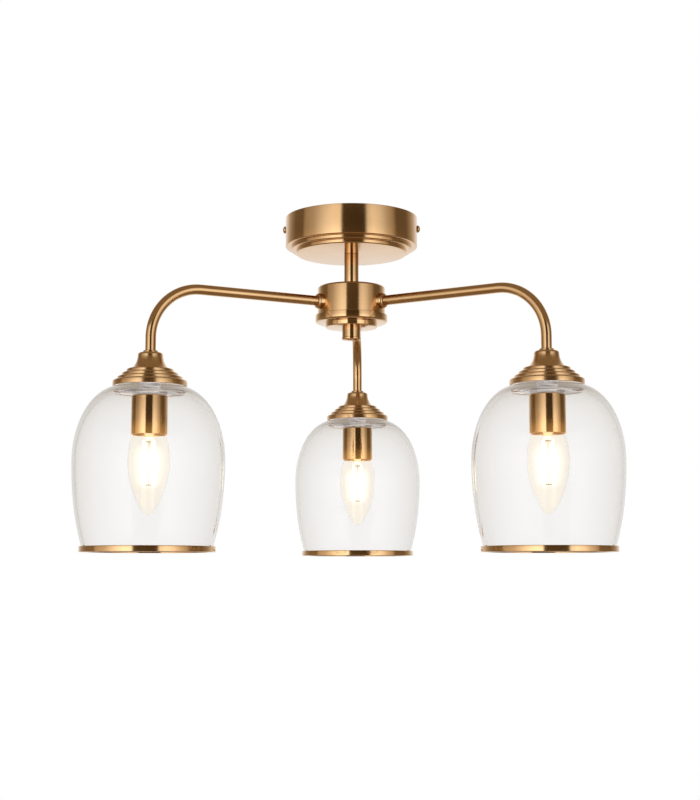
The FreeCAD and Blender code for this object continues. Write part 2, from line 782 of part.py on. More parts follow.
# Lamp leads: each runs from its pole down the stem, out through the hub and along its arm
lead_end = arm_thread_end + d.seat_clearance
lead_turn_y = d.block_offset - d.lead_exit
for (number, angle), pole in zip(ARM_ANGLES.items(), (ZERO, -d.pole_spacing, d.pole_spacing)):
    way = outward(angle)
    drop = way * d.lead_ring.value
    bend = d.lead_bend_radius.value
    entry = Vector(pole.value, d.block_offset.value + d.pole_depth.value / 2, pole_level.value)
    corners = [
        (drop + UP * pole_level.value, bend),
        (drop + UP * arm_level.value, bend),
        (way * d.arm_reach.value + UP * arm_level.value, d.arm_bend_radius.value),
    ]
    if pole is not ZERO:
        side_turn = Vector(pole.value, lead_turn_y.value, pole_level.value)
        corners.insert(0, (side_turn, d.lead_side_radius.value))
    route = rounded_route(entry, corners, way * d.arm_reach.value + UP * lead_end.value)
    end_circle = Part.Wire(Part.Circle(entry, Vector(0, 1, 0), d.lead_radius.value).toShape())
    lead = doc.addObject("Part::Feature", f"lamp_lead_{number}")
    lead.Shape = route.makePipeShell([end_circle], True, False)
    keep(lead, f"lamp_lead_{number}")


def ellipse_arc(centre, upright, across, start, finish):
    """Part of an ellipse in the XZ plane, with its angle counted from the upright axis."""
    first = centre + UP * upright
    second = centre + Vector(across, 0, 0)
    if abs(upright) > abs(across):
        ellipse = Part.Ellipse(first, second, centre)
    else:
        ellipse = Part.Ellipse(second, first, centre)
        start, finish = start - math.pi / 2, finish - math.pi / 2
    return Part.ArcOfEllipse(ellipse, min(start, finish), max(start, finish)).toShape()


def point(radius, level):
    return Vector(radius, 0, level)


def line(*points):
    return [Part.LineSegment(a, b).toShape() for a, b in zip(points, points[1:])]


def revolved(edges):
    wire = Part.Wire(Part.__sortEdges__(edges))
    return Part.Face(wire).revolve(Vector(), UP, 360)


def bell_curve(swell, shoulder, taper, neck_radius, mouth_level):
    """One side of the bell: an ellipse quarter above its widest level, part of a longer one below."""
    centre = point(glass_centre.value, glass_middle.value)
    top_angle = math.asin((neck_radius - centre.x) / swell)
    mouth_angle = math.acos((centre.z - mouth_level) / taper)
    upper = ellipse_arc(centre, shoulder, swell, top_angle, math.pi / 2)
    lower = ellipse_arc(centre, -taper, swell, mouth_angle, math.pi / 2)
    top = point(neck_radius, centre.z + shoulder * math.cos(top_angle))
    mouth = point(centre.x + swell * math.sin(mouth_angle), mouth_level)
    return [upper, lower], top, mouth


def glass_bell():
    """A heavy-topped blown bell, open below, with a hole in its top for the lampholder's neck."""
    wall = d.glass_wall.value
    swell = d.glass_swell.value
    taper = d.glass_taper.value
    mouth_level = glass_mouth.value
    hole = d.glass_hole_radius.value
    outside, neck, outer_mouth = bell_curve(
        swell, d.glass_shoulder.value, taper, glass_neck.value, mouth_level)
    inner_shoulder = glass_ceiling.value - glass_middle.value
    inside, ceiling, inner_mouth = bell_curve(
        swell - wall, inner_shoulder, taper - wall, glass_centre.value, mouth_level)
    top = glass_top.value
    edges = outside + inside
    edges += line(neck, point(neck.x, top), point(hole, top), point(hole, ceiling.z), ceiling)
    edges += line(outer_mouth, inner_mouth)
    return revolved(edges)


def candle_curve(radius, shoulder, side_radius, nose_radius, neck_radius):
    """One side of a candle bulb: an ellipse quarter at its shoulder, a long arc and a small round nose."""
    middle = bulb_middle.value
    centre = point(neck_radius, middle)
    upper = ellipse_arc(centre, shoulder, radius - neck_radius, 0, math.pi / 2)
    side_centre = point(radius - side_radius, middle)
    gap = side_radius - nose_radius
    nose_level = middle - math.sqrt(gap * gap - side_centre.x * side_centre.x)
    nose_centre = point(0, nose_level)
    slope = (nose_centre - side_centre).normalize()
    join = nose_centre + slope * nose_radius
    half_way = (slope + Vector(1, 0, 0)).normalize()
    widest = point(radius, middle)
    side = Part.Arc(widest, side_centre + half_way * side_radius, join).toShape()
    tip = point(0, nose_level - nose_radius)
    nose_way = (slope - UP).normalize()
    nose = Part.Arc(join, nose_centre + nose_way * nose_radius, tip).toShape()
    return [upper, side, nose], point(neck_radius, middle + shoulder), tip


def candle_bulb():
    """The bulb's glass: a thin closed envelope with an open neck that is cemented into its cap."""
    wall = d.bulb_wall.value
    neck = d.bulb_neck_radius.value
    neck_end = bulb_neck.value + d.bulb_neck_depth.value
    outside, outer_neck, outer_tip = candle_curve(
        d.bulb_radius.value, d.bulb_shoulder.value, d.bulb_side_radius.value,
        d.bulb_nose_radius.value, neck)
    inside, inner_neck, inner_tip = candle_curve(
        d.bulb_radius.value - wall, d.bulb_shoulder.value, d.bulb_side_radius.value - wall,
        d.bulb_nose_radius.value - wall, neck - wall)
    edges = outside + inside
    edges += line(outer_neck, point(neck, neck_end), point(neck - wall, neck_end), inner_neck)
    edges += line(outer_tip, inner_tip)
    return revolved(edges)


def shade_cap(label, x, y):
    """A spun bell with a flared foot, three stepped rings and a deep flange that holds the glass."""
    steps = [
        (arm_hole, cap_top),
        (d.bell_radius - d.bell_round, cap_top),
        (d.bell_radius, cap_top - d.bell_round, -d.bell_round),
        (d.bell_foot_radius, bell_foot, d.bell_flare_radius),
    ]
    round_over = d.cap_ring_round
    for ring_number in range(CAP_RINGS):
        radius = d.cap_ring_radius + d.cap_ring_growth * ring_number
        level = bell_foot - d.cap_ring_height * ring_number
        steps += [
            (radius - round_over, level),
            (radius, level - round_over, -round_over),
            (radius, level - d.cap_ring_height),
        ]
    inner_ring = d.bell_foot_radius - d.cap_wall
    steps += [
        (d.cap_flange_radius - d.cap_flange_round, cap_flange_top),
        (d.cap_flange_radius, cap_flange_top - d.cap_flange_round, -d.cap_flange_round),
        (d.cap_flange_radius, cap_bottom),
        (cap_inside, cap_bottom),
        (cap_inside, cap_seat),
        (cap_inside - d.cap_seat_width, cap_seat),
        (inner_ring, bell_foot),
        (d.bell_radius - d.cap_wall / 2, cap_top - d.bell_height / 2),
        (d.bell_radius - d.cap_wall / 2, cap_ceiling),
        (arm_hole, cap_ceiling),
    ]
    turned(label, steps, x, y)


def lampholder(label, x, y):
    """The moulded holder: a neck that screws onto the arm, and a cup that takes the bulb's cap."""
    holder_radius = sleeve_inside - d.slip_clearance
    turned(label, [
        (arm_hole, neck_top),
        (d.holder_neck_radius, neck_top),
        (d.holder_neck_radius, holder_shoulder),
        (holder_radius, holder_shoulder),
        (holder_radius, holder_bottom),
        (socket_radius, holder_bottom),
        (socket_radius, holder_ceiling),
        (ZERO, holder_ceiling),
        (ZERO, arm_thread_end),
        (arm_hole, arm_thread_end),
    ], x, y)


def bulb_cap(label, x, y):
    """The bulb's screw cap: an insulating crown, the threaded shell and a skirt round the glass neck."""
    wall = d.bulb_cap_wall
    skirt_flare = d.bulb_skirt_height / 2
    turned(label, [
        (ZERO, bulb_crown),
        (d.bulb_crown_radius, bulb_crown),
        (d.bulb_thread_radius, bulb_thread_top),
        (d.bulb_thread_radius, bulb_skirt_top),
        (bulb_skirt_radius, bulb_skirt_top - skirt_flare),
        (bulb_skirt_radius, bulb_cap_bottom),
        (bulb_skirt_radius - wall, bulb_cap_bottom),
        (bulb_skirt_radius - wall, bulb_skirt_top - skirt_flare),
        (d.bulb_thread_radius - wall, bulb_skirt_top),
        (d.bulb_thread_radius - wall, bulb_thread_top),
        (ZERO, bulb_thread_top),
    ], x, y)


def filament_mount(label, x, y):
    """The lit part: a flared glass stem with a wire through it, which carries four straight filaments."""
    flare_radius = d.bulb_neck_radius - d.bulb_wall - d.seat_clearance
    flare_top = bulb_neck + d.bulb_neck_depth / 2
    flare_bottom = bulb_neck
    stem_bottom = bulb_neck - d.filament_drop
    filament_bottom = stem_bottom - d.filament_length
    stem = new_body(f"{label}_stem")
    turn(stem, "section", [
        (ZERO, flare_top),
        (flare_radius, flare_top),
        (flare_radius, flare_bottom),
        (d.mount_stem_radius, stem_bottom),
        (d.mount_core_radius, stem_bottom),
        (d.mount_core_radius, filament_bottom),
        (ZERO, filament_bottom),
    ])
    parts = [stem]
    for number, angle in enumerate(FILAMENT_ANGLES):
        way = outward(angle)
        rod = doc.addObject("Part::Cylinder", f"{label}_rod_{number}")
        bind(rod, "Radius", d.filament_radius)
        bind(rod, "Height", d.filament_length)
        place(rod, d.filament_ring * way.x, d.filament_ring * way.y, filament_bottom)
        parts.append(rod)
        wire_inset = d.mount_wire_radius * 2
        for end, level in (("upper", stem_bottom - wire_inset), ("lower", filament_bottom + wire_inset)):
            spoke = doc.addObject("Part::Cylinder", f"{label}_{end}_wire_{number}")
            bind(spoke, "Radius", d.mount_wire_radius)
            bind(spoke, "Height", d.filament_ring)
            place(spoke, z=level, rotation=FreeCAD.Rotation(UP, way))
            parts.append(spoke)
    mount = doc.addObject("Part::MultiFuse", label)
    mount.Shapes = parts
    place(mount, x, y)
    keep(mount, label)


# Three lamps, each built down from the end of its arm
end_rings = []
cap_nuts = []
upper_washers = []
lower_washers = []
contacts = []
for number, angle in ARM_ANGLES.items():
    x, y = lamp_axis(angle)
    spot = FreeCAD.Placement(Vector(x.value, y.value, 0), FreeCAD.Rotation())

    shade_cap(f"shade_cap_{number}", x, y)

    glass = doc.addObject("Part::Feature", f"shade_glass_{number}")
    glass.Shape = glass_bell()
    glass.Placement = spot
    keep(glass, f"shade_glass_{number}")

    mouth_radius = bell_curve(
        d.glass_swell.value, d.glass_shoulder.value, d.glass_taper.value,
        glass_neck.value, glass_mouth.value + d.rim_height.value - d.rim_floor.value)[2].x
    rim_inside = as_size(mouth_radius) + d.seat_clearance
    rim_outside = rim_inside + d.rim_wall
    turned(f"shade_rim_{number}", [
        (rim_inside, glass_mouth + d.rim_height - d.rim_floor),
        (rim_outside, glass_mouth + d.rim_height - d.rim_floor),
        (rim_outside, glass_mouth - d.rim_floor),
        (rim_inside - d.rim_lip, glass_mouth - d.rim_floor),
        (rim_inside - d.rim_lip, glass_mouth),
        (rim_inside, glass_mouth),
    ], x, y)

    turned(f"lampholder_sleeve_{number}", [
        (holder_hole, sleeve_top),
        (d.sleeve_radius - d.sleeve_wall, sleeve_top),
        (d.sleeve_radius, sleeve_top - d.sleeve_wall, -d.sleeve_wall),
        (d.sleeve_radius, sleeve_bottom),
        (sleeve_inside, sleeve_bottom),
        (sleeve_inside, holder_shoulder),
        (holder_hole, holder_shoulder),
    ], x, y)
    lampholder(f"lampholder_{number}", x, y)
    ring(
        f"lampholder_thread_{number}",
        socket_radius - d.seat_clearance - d.thread_shell_wall, socket_radius - d.seat_clearance,
        holder_ceiling - d.thread_shell_lift, holder_bottom + d.thread_shell_lift, x, y)

    bulb_cap(f"bulb_cap_{number}", x, y)
    bulb = doc.addObject("Part::Feature", f"bulb_glass_{number}")
    bulb.Shape = candle_bulb()
    bulb.Placement = spot
    keep(bulb, f"bulb_glass_{number}")
    turned(f"bulb_contact_{number}", [
        (ZERO, bulb_top),
        (d.bulb_contact_radius / 2, bulb_top),
        (d.bulb_contact_radius, bulb_top - d.bulb_contact_height / 2, -d.bulb_contact_radius),
        (d.bulb_contact_radius, bulb_crown),
        (ZERO, bulb_crown),
    ], x, y)
    filament_mount(f"bulb_filament_{number}", x, y)

    end_ring = new_body(f"end_ring_{number}")
    round_over = d.end_ring_round
    turn(end_ring, "section", [
        (arm_hole, arm_end),
        (d.end_ring_radius - round_over, arm_end),
        (d.end_ring_radius, arm_end - round_over, -round_over),
        (d.end_ring_radius, cap_top),
        (arm_hole, cap_top),
    ])
    place(end_ring, x, y)
    end_rings.append(end_ring)

    cap_nut = hex_nut(f"cap_nut_{number}", d.arm_nut_flats, d.arm_nut_height, arm_hole)
    place(cap_nut, x, y, cap_ceiling - d.arm_nut_height)
    cap_nuts.append(cap_nut)

    for washers, name, inner, outer, top in (
        (upper_washers, "upper", cap_inside - d.cap_seat_width, glass_neck, cap_seat),
        (lower_washers, "lower", holder_hole, sleeve_inside, glass_ceiling),
    ):
        washer = new_body(f"shade_washer_{name}_{number}")
        bottom = top - d.shade_washer_height
        turn(washer, "section", [(inner, top), (outer, top), (outer, bottom), (inner, bottom)])
        place(washer, x, y)
        washers.append(washer)

    contact = doc.addObject("Part::Cylinder", f"holder_contact_{number}")
    bind(contact, "Radius", d.holder_contact_radius)
    bind(contact, "Height", d.holder_contact_height)
    place(contact, x, y, holder_ceiling - d.holder_contact_height)
    contacts.append(contact)

group("arm_end_rings", end_rings)
group("cap_lock_nuts", cap_nuts)
group("shade_upper_washers", upper_washers)
group("shade_lower_washers", lower_washers)
group("lampholder_contacts", contacts)

doc.recompute()

failed = [item.Label for item in doc.Objects if {"Invalid", "Error"} & set(item.State)]
failed += [piece.Label for piece in pieces if piece.Shape.isNull() or not piece.Shape.isValid()]
if failed:
    raise RuntimeError(f"these did not build: {sorted(set(failed))}")

os.makedirs("parts", exist_ok=True)
for piece in pieces:
    piece.Shape.exportStep(f"parts/{piece.Label}.step")
print(f"{len(pieces)} pieces")
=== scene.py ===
import math

import bmesh
import bpy
from mathutils import Matrix, Vector


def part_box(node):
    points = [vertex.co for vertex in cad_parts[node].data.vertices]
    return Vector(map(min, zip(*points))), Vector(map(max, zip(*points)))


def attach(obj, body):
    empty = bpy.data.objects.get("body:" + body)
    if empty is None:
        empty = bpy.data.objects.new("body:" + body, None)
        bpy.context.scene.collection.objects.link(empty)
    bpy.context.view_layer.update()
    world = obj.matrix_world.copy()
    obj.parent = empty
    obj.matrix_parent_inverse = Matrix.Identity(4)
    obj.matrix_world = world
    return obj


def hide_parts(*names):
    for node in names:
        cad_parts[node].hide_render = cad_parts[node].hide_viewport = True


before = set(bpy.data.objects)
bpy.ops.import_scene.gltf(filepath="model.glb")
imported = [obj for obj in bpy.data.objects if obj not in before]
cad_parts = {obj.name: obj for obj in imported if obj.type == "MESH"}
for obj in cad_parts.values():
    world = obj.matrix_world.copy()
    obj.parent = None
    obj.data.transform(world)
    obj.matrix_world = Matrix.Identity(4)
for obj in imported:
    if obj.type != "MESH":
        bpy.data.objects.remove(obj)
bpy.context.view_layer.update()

# Ceiling bracket and its fastenings
# A pressed strap of zinc-plated steel that two screws hold to the ceiling through its slots.
# The tubes, nuts and washers that clamp the light together are plated the same way.
STEEL_NODES = (
    "ceiling_bracket", "earth_screw", "terminal_screws", "canopy_tube", "stem_washer",
    "stem_top_nut", "hub_tube", "hub_nut", "arm_lock_nuts", "cap_lock_nuts",
)
ZINC_DARK = (0.42, 0.43, 0.45)
ZINC_PALE = (0.62, 0.63, 0.64)
ZINC_GLOSS = (0.26, 0.42)


def node_adder(tree):
    """A function that adds a node to a tree, with its settings, its values and its links."""
    def node(kind, values=(), **settings):
        made = tree.nodes.new(kind)
        for setting, value in settings.items():
            setattr(made, setting, value)
        for socket, value in dict(values).items():
            if isinstance(value, bpy.types.NodeSocket):
                tree.links.new(value, made.inputs[socket])
            else:
                made.inputs[socket].default_value = value
        return made

    return node


def new_material(name, **sockets):
    """A material with its shader's own sockets set, and functions that add and feed nodes."""
    material = bpy.data.materials.new(name)
    material.use_nodes = True
    tree = material.node_tree
    shader = tree.nodes["Principled BSDF"]
    for socket, value in sockets.items():
        shader.inputs[socket.replace("_", " ")].default_value = value

    def feed(output, socket):
        tree.links.new(output, shader.inputs[socket])

    return material, node_adder(tree), feed


def own_place(node):
    """Where each point lies on its own piece."""
    return node("ShaderNodeTexCoord").outputs["Object"]


def noise(node, place, **values):
    """A noise over a piece, with its scale, detail and distortion."""
    return node("ShaderNodeTexNoise", {"Vector": place, **values}).outputs["Fac"]


def spread(node, fac, low, high):
    """Stretches a noise between two values."""
    ranged = node("ShaderNodeMapRange", {"Value": fac, "To Min": low, "To Max": high})
    return ranged.outputs["Result"]


def two_tone(node, fac, dark, pale):
    """Mixes a dark and a pale colour by a noise."""
    mixed = node("ShaderNodeMix", {"Factor": fac}, data_type="RGBA")
    mixed.inputs["A"].default_value = (*dark, 1)
    mixed.inputs["B"].default_value = (*pale, 1)
    return mixed.outputs["Result"]


def zinc_steel():
    """Zinc plating: a pale bluish grey with a faint spangle and small changes of gloss."""
    material, node, feed = new_material("zinc_steel", Metallic=1.0)
    place = own_place(node)
    spangle = node("ShaderNodeTexVoronoi", {"Vector": place, "Scale": 420.0}).outputs["Color"]
    cloud = noise(node, place, Scale=90.0, Detail=4.0)
    feed(two_tone(node, cloud, ZINC_DARK, ZINC_PALE), "Base Color")
    feed(spread(node, spangle, *ZINC_GLOSS), "Roughness")
    return material


def finish_nodes(names, material):
    """Gives a better finish to CAD nodes whose shape is right."""
    for name in names:
        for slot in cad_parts[name].material_slots:
            slot.material = material


finish_nodes(STEEL_NODES, zinc_steel())

# Terminal block and lamp leads
# A moulded nylon block under the bracket, with a clamp screw each side of every pole.
# The leads, in milky silicone, run from it down the stem and along the arms.
MM = 0.001
LAMPS = (1, 2, 3)
MOULD_GRAIN_DEPTH = 0.1


def dent(node, feed, height, strength, depth):
    """Presses a noise into a surface, to a depth in millimetres."""
    bump = node("ShaderNodeBump", {
        "Height": height, "Strength": strength, "Distance": depth * MM})
    feed(bump.outputs["Normal"], "Normal")


def moulded_plastic(name, dark, pale, roughness, grain):
    """Moulded plastic with a fine mould grain and a slight unevenness of colour."""
    material, node, feed = new_material(name, Roughness=roughness, IOR=1.5)
    place = own_place(node)
    cloud = noise(node, place, Scale=160.0, Detail=3.0)
    feed(two_tone(node, cloud, dark, pale), "Base Color")
    dent(node, feed, noise(node, place, Scale=2600.0), grain, MOULD_GRAIN_DEPTH)
    return material


block_nylon = moulded_plastic(
    "nylon_block", dark=(0.72, 0.71, 0.66), pale=(0.84, 0.83, 0.79), roughness=0.45, grain=0.3)
lead_silicone = moulded_plastic(
    "lead_silicone", dark=(0.70, 0.68, 0.62), pale=(0.82, 0.80, 0.75), roughness=0.38, grain=0.15)
finish_nodes(["terminal_block"], block_nylon)
finish_nodes([f"lamp_lead_{n}" for n in LAMPS], lead_silicone)

# Ceiling cup
# Spun brass with two rounded steps under its wall, brushed on the lathe and lacquered.
# It covers the bracket, and two side screws draw it up against the ceiling.
LATHE_SIDES = 160
ON_AXIS = 0.001
CREASE = math.radians(32)
CUP_WALL = 1.2
CUP_STEP_INSET = 4.8
CUP_STEP_HEIGHT = 3.1
CUP_EDGE = 1.2
FINE_EDGE = 0.3
TUBE_HOLE = 5.2
BRASS_DEEP = (0.62, 0.375, 0.170)
BRASS_PALE = (0.76, 0.490, 0.255)
BRASS_SMOOTHER = 0.05
BRASS_ROUGHER = 0.10
TURNING_DEPTH = 0.05


def span(node):
    """A node's lowest and highest corners at rest, in millimetres."""
    low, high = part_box(node)
    return low / MM, high / MM


def rounded(corners, arc_steps=6):
    """An outline through (radius, height) corners; a third number rounds its corner off."""
    points = []
    for i, corner in enumerate(corners):
        here = Vector(corner[:2])
        if len(corner) == 2:
            points.append(here)
            continue
        edge = corner[2]
        before = Vector(corners[i - 1][:2])
        after = Vector(corners[(i + 1) % len(corners)][:2])
        arriving = (here - before).normalized()
        leaving = (after - here).normalized()
        turn = math.atan2(arriving.cross(leaving), arriving.dot(leaving))
        start = here - arriving * edge * math.tan(abs(turn) / 2)
        centre = here + (leaving - arriving).normalized() * edge / math.cos(turn / 2)
        for step in range(arc_steps + 1):
            points.append(centre + Matrix.Rotation(turn * step / arc_steps, 2) @ (start - centre))
    return points


def new_piece(name, build, x=0.0, y=0.0):
    """An object from a finished bmesh, smooth but for its real edges, its origin on its axis."""
    bmesh.ops.recalc_face_normals(build, faces=build.faces)
    for face in build.faces:
        face.smooth = True
    for edge in build.edges:
        edge.smooth = len(edge.link_faces) < 2 or edge.calc_face_angle() < CREASE
    mesh = bpy.data.meshes.new(name)
    build.to_mesh(mesh)
    build.free()
    piece = bpy.data.objects.new(name, mesh)
    piece.location = (x * MM, y * MM, 0)
    bpy.context.scene.collection.objects.link(piece)
    return piece


def bridge(build, ring, after):
    """Faces between two rings of points, either of which may be a single point on the axis."""
    count = max(len(ring), len(after))
    if count == 1:
        return
    for i in range(count):
        j = (i + 1) % count
        corners = [
            ring[i % len(ring)], ring[j % len(ring)],
            after[j % len(after)], after[i % len(after)],
        ]
        build.faces.new(list(dict.fromkeys(corners)))


def run_layer_of(build):
    """The layer that keeps how far along its outline each point lies, for the turning rings."""
    layers = build.verts.layers.float
    return layers.get("run") or layers.new("run")


def add_turned(build, outline, sides, shift=(0.0, 0.0), ripple=None):
    """Adds a closed outline of (radius, height) points, turned about an upright axis."""
    run_layer = run_layer_of(build)
    rings = []
    run = 0.0
    before = Vector(outline[0])
    for radius, height in outline:
        here = Vector((radius, height))
        run += (here - before).length
        before = here
        count = sides if radius > ON_AXIS else 1
        ring = []
        for i in range(count):
            angle = 2 * math.pi * i / count
            reach = radius + (ripple(angle, radius, height) if ripple else 0.0)
            spot = (shift[0] + reach * math.cos(angle), shift[1] + reach * math.sin(angle), height)
            vert = build.verts.new(Vector(spot) * MM)
            vert[run_layer] = run
            ring.append(vert)
        rings.append(ring)
    for ring, after in zip(rings, rings[1:] + rings[:1]):
        bridge(build, ring, after)


def lathe(name, outline, x=0.0, y=0.0, sides=LATHE_SIDES, ripple=None):
    """A single turned piece on the upright axis at (x, y)."""
    build = bmesh.new()
    add_turned(build, outline, sides, ripple=ripple)
    return new_piece(name, build, x, y)


def fit(piece, material, body, slot, *nodes):
    """Gives a piece its finish, the body that it rides on and the nodes that it stands for."""
    piece.data.materials.append(material)
    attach(piece, body)
    if nodes:
        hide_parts(*nodes)


def arithmetic(node, operation, first, second):
    """One step of arithmetic on two values, either of which may come from a node."""
    return node("ShaderNodeMath", {0: first, 1: second}, operation=operation).outputs["Value"]


def turned_brass(name, gloss, groove, brushing=0.0):
    """Lacquered antique brass: fine turning rings along the outline, under a cloudy tone."""
    material, node, feed = new_material(
        name, Metallic=1.0, Coat_Weight=0.2, Coat_Roughness=0.12,
        Anisotropic=brushing, Anisotropic_Rotation=0.25)
    if brushing:
        around = node("ShaderNodeTangent", direction_type="RADIAL", axis="Z")
        feed(around.outputs["Tangent"], "Tangent")
    run = node("ShaderNodeAttribute", attribute_name="run").outputs["Fac"]
    rings = node("ShaderNodeTexNoise", {
        "W": run, "Scale": 9.0, "Detail": 3.0}, noise_dimensions="1D").outputs["Fac"]
    cloud = noise(node, own_place(node), Scale=38.0, Detail=5.0)
    uneven = arithmetic(node, "MULTIPLY", rings, cloud)
    feed(two_tone(node, cloud, BRASS_DEEP, BRASS_PALE), "Base Color")
    feed(spread(node, uneven, gloss - BRASS_SMOOTHER, gloss + BRASS_ROUGHER), "Roughness")
    dent(node, feed, rings, groove, TURNING_DEPTH)
    return material


brushed_brass = turned_brass("brushed_brass", gloss=0.15, groove=0.10, brushing=0.6)
cup_low, cup_high = span("canopy")
cup_radius, cup_top, cup_bottom = cup_high.x, cup_high.z, cup_low.z
cup_step_one = cup_radius - CUP_STEP_INSET
cup_step_two = cup_step_one - CUP_STEP_INSET
cup_level_two = cup_bottom + CUP_STEP_HEIGHT
cup_level_one = cup_level_two + CUP_STEP_HEIGHT
canopy_cup = lathe("canopy_cup", rounded([
    (cup_radius - CUP_WALL, cup_top),
    (cup_radius, cup_top, FINE_EDGE),
    (cup_radius, cup_level_one, CUP_EDGE),
    (cup_step_one, cup_level_one, FINE_EDGE),
    (cup_step_one, cup_level_two, CUP_EDGE),
    (cup_step_two, cup_level_two, FINE_EDGE),
    (cup_step_two, cup_bottom, CUP_EDGE),
    (TUBE_HOLE, cup_bottom),
    (TUBE_HOLE, cup_bottom + CUP_WALL),
    (cup_step_two - CUP_WALL, cup_bottom + CUP_WALL),
    (cup_step_two - CUP_WALL, cup_level_two + CUP_WALL),
    (cup_step_one - CUP_WALL, cup_level_two + CUP_WALL),
    (cup_step_one - CUP_WALL, cup_level_one + CUP_WALL),
    (cup_radius - CUP_WALL, cup_level_one + CUP_WALL),
]))
fit(canopy_cup, brushed_brass, "fixture", "brass", "canopy")

# Side screws
# Two brass dome-headed screws through the cup's wall into the bracket's tabs.
# Each head is turned with a small shoulder, and a slot is sawn across it.
SCREW_HEAD = 3.4
SCREW_SHOULDER = 0.5
SCREW_SHANK = 2.0
SCREW_LENGTH = 6.0
SCREW_SIDES = 48
DOME_STEPS = 8
SLOT_WIDTH = 0.8
SLOT_DEPTH = 1.0
polished_brass = turned_brass("polished_brass", gloss=0.11, groove=0.03)
screws_low, screws_high = span("canopy_screws")
screw_level = (screws_low.z + screws_high.z) / 2
head_rise = screws_high.x - cup_radius


def slotted_screw(name, way):
    """A dome head on a plain shank, turned upright, slotted and then laid along X."""
    outline = [
        (0.0, -SCREW_LENGTH),
        (SCREW_SHANK, -SCREW_LENGTH),
        (SCREW_SHANK, 0.0),
        (SCREW_HEAD, 0.0),
        (SCREW_HEAD, SCREW_SHOULDER),
    ]
    for step in range(1, DOME_STEPS + 1):
        angle = math.pi / 2 * step / DOME_STEPS
        rise = SCREW_SHOULDER + (head_rise - SCREW_SHOULDER) * math.sin(angle)
        outline.append((SCREW_HEAD * math.cos(angle), rise))
    piece = lathe(name, outline, sides=SCREW_SIDES)
    build = bmesh.new()
    bmesh.ops.create_cube(build, size=1.0)
    saw = new_piece(f"{name}_saw", build)
    saw.scale = (SCREW_HEAD * 3 * MM, SLOT_WIDTH * MM, SLOT_DEPTH * 2 * MM)
    saw.location = (0, 0, head_rise * MM)
    cut = piece.modifiers.new("slot", "BOOLEAN")
    cut.object = saw
    cut.operation = "DIFFERENCE"
    sawn = piece.evaluated_get(bpy.context.evaluated_depsgraph_get())
    mesh = bpy.data.meshes.new_from_object(sawn)
    piece.modifiers.clear()
    piece.data = mesh
    bpy.data.objects.remove(saw)
    turn = Matrix.Rotation(way * math.pi / 2, 4, "Y")
    mesh.transform(Matrix.Translation((way * cup_radius * MM, 0, screw_level * MM)) @ turn)
    return piece


right_screw = slotted_screw("side_screw_right", 1)
left_screw = slotted_screw("side_screw_left", -1)
fit(right_screw, polished_brass, "fixture", "brass", "canopy_screws")
fit(left_screw, polished_brass, "fixture", "brass")

# Stem
# A short brass tube, brushed round, tapped at both ends for the threaded tubes.
# It is clamped square between the cup's floor and the hub's top.
TUBE_EDGE = 0.25
stem_low, stem_high = span("stem")
stem_tube = lathe("stem_tube", rounded([
    (TUBE_HOLE, stem_high.z),
    (stem_high.x, stem_high.z, TUBE_EDGE),
    (stem_high.x, stem_low.z, TUBE_EDGE),
    (TUBE_HOLE, stem_low.z),
]))
fit(stem_tube, brushed_brass, "fixture", "brass", "stem")

# Hub
# A drawn brass cup that the arms screw into, closed below by a flanged cover with a stepped plate.
# A turned finial on the threaded tube pulls the cover up.
HUB_WALL = 2.0
HUB_TOP = 2.5
HUB_EDGE = 2.0
COVER_PLAY = 0.2
FLANGE_HEIGHT = 7.0
FLANGE_UPPER_EDGE = 0.4
FLANGE_LOWER_EDGE = 2.0
PLATE_RADIUS = 23.4
PLATE_EDGE = 0.8
FINIAL_EDGE = 0.8
FINIAL_LIP = 0.3
FINIAL_LIP_HEIGHT = 2.2
FINIAL_LIP_EDGE = 0.2
hub_brass = turned_brass("hub_brass", gloss=0.21, groove=0.10, brushing=0.9)
hub_low, hub_high = span("hub_body")
hub_radius = hub_high.x
hub_inside = hub_radius - HUB_WALL
hub_shell = lathe("hub_shell", rounded([
    (TUBE_HOLE, hub_high.z),
    (hub_radius, hub_high.z, HUB_EDGE),
    (hub_radius, hub_low.z),
    (hub_inside, hub_low.z),
    (hub_inside, hub_high.z - HUB_TOP),
    (TUBE_HOLE, hub_high.z - HUB_TOP),
]))
fit(hub_shell, hub_brass, "fixture", "brass", "hub_body")

cover_low, cover_high = span("hub_cover")
flange_bottom = hub_low.z - FLANGE_HEIGHT
hub_base = lathe("hub_base", rounded([
    (PLATE_RADIUS - HUB_WALL, cover_high.z),
    (hub_inside - COVER_PLAY, cover_high.z),
    (hub_inside - COVER_PLAY, hub_low.z),
    (cover_high.x, hub_low.z, FLANGE_UPPER_EDGE),
    (cover_high.x, flange_bottom, FLANGE_LOWER_EDGE),
    (PLATE_RADIUS, flange_bottom, FINE_EDGE),
    (PLATE_RADIUS, cover_low.z, PLATE_EDGE),
    (TUBE_HOLE, cover_low.z),
    (TUBE_HOLE, cover_low.z + HUB_WALL),
    (PLATE_RADIUS - HUB_WALL, cover_low.z + HUB_WALL),
]))
fit(hub_base, polished_brass, "fixture", "brass", "hub_cover")

finial_low, finial_high = span("hub_finial")
finial_radius = finial_high.x
lip_level = finial_low.z + FINIAL_LIP_HEIGHT
finial_knob = lathe("finial_knob", rounded([
    (0.0, finial_high.z),
    (finial_radius - FINIAL_LIP, finial_high.z),
    (finial_radius - FINIAL_LIP, lip_level),
    (finial_radius, lip_level - FINIAL_LIP, FINIAL_LIP_EDGE),
    (finial_radius, finial_low.z, FINIAL_EDGE),
    (0.0, finial_low.z),
]))
fit(finial_knob, polished_brass, "fixture", "brass", "hub_finial")

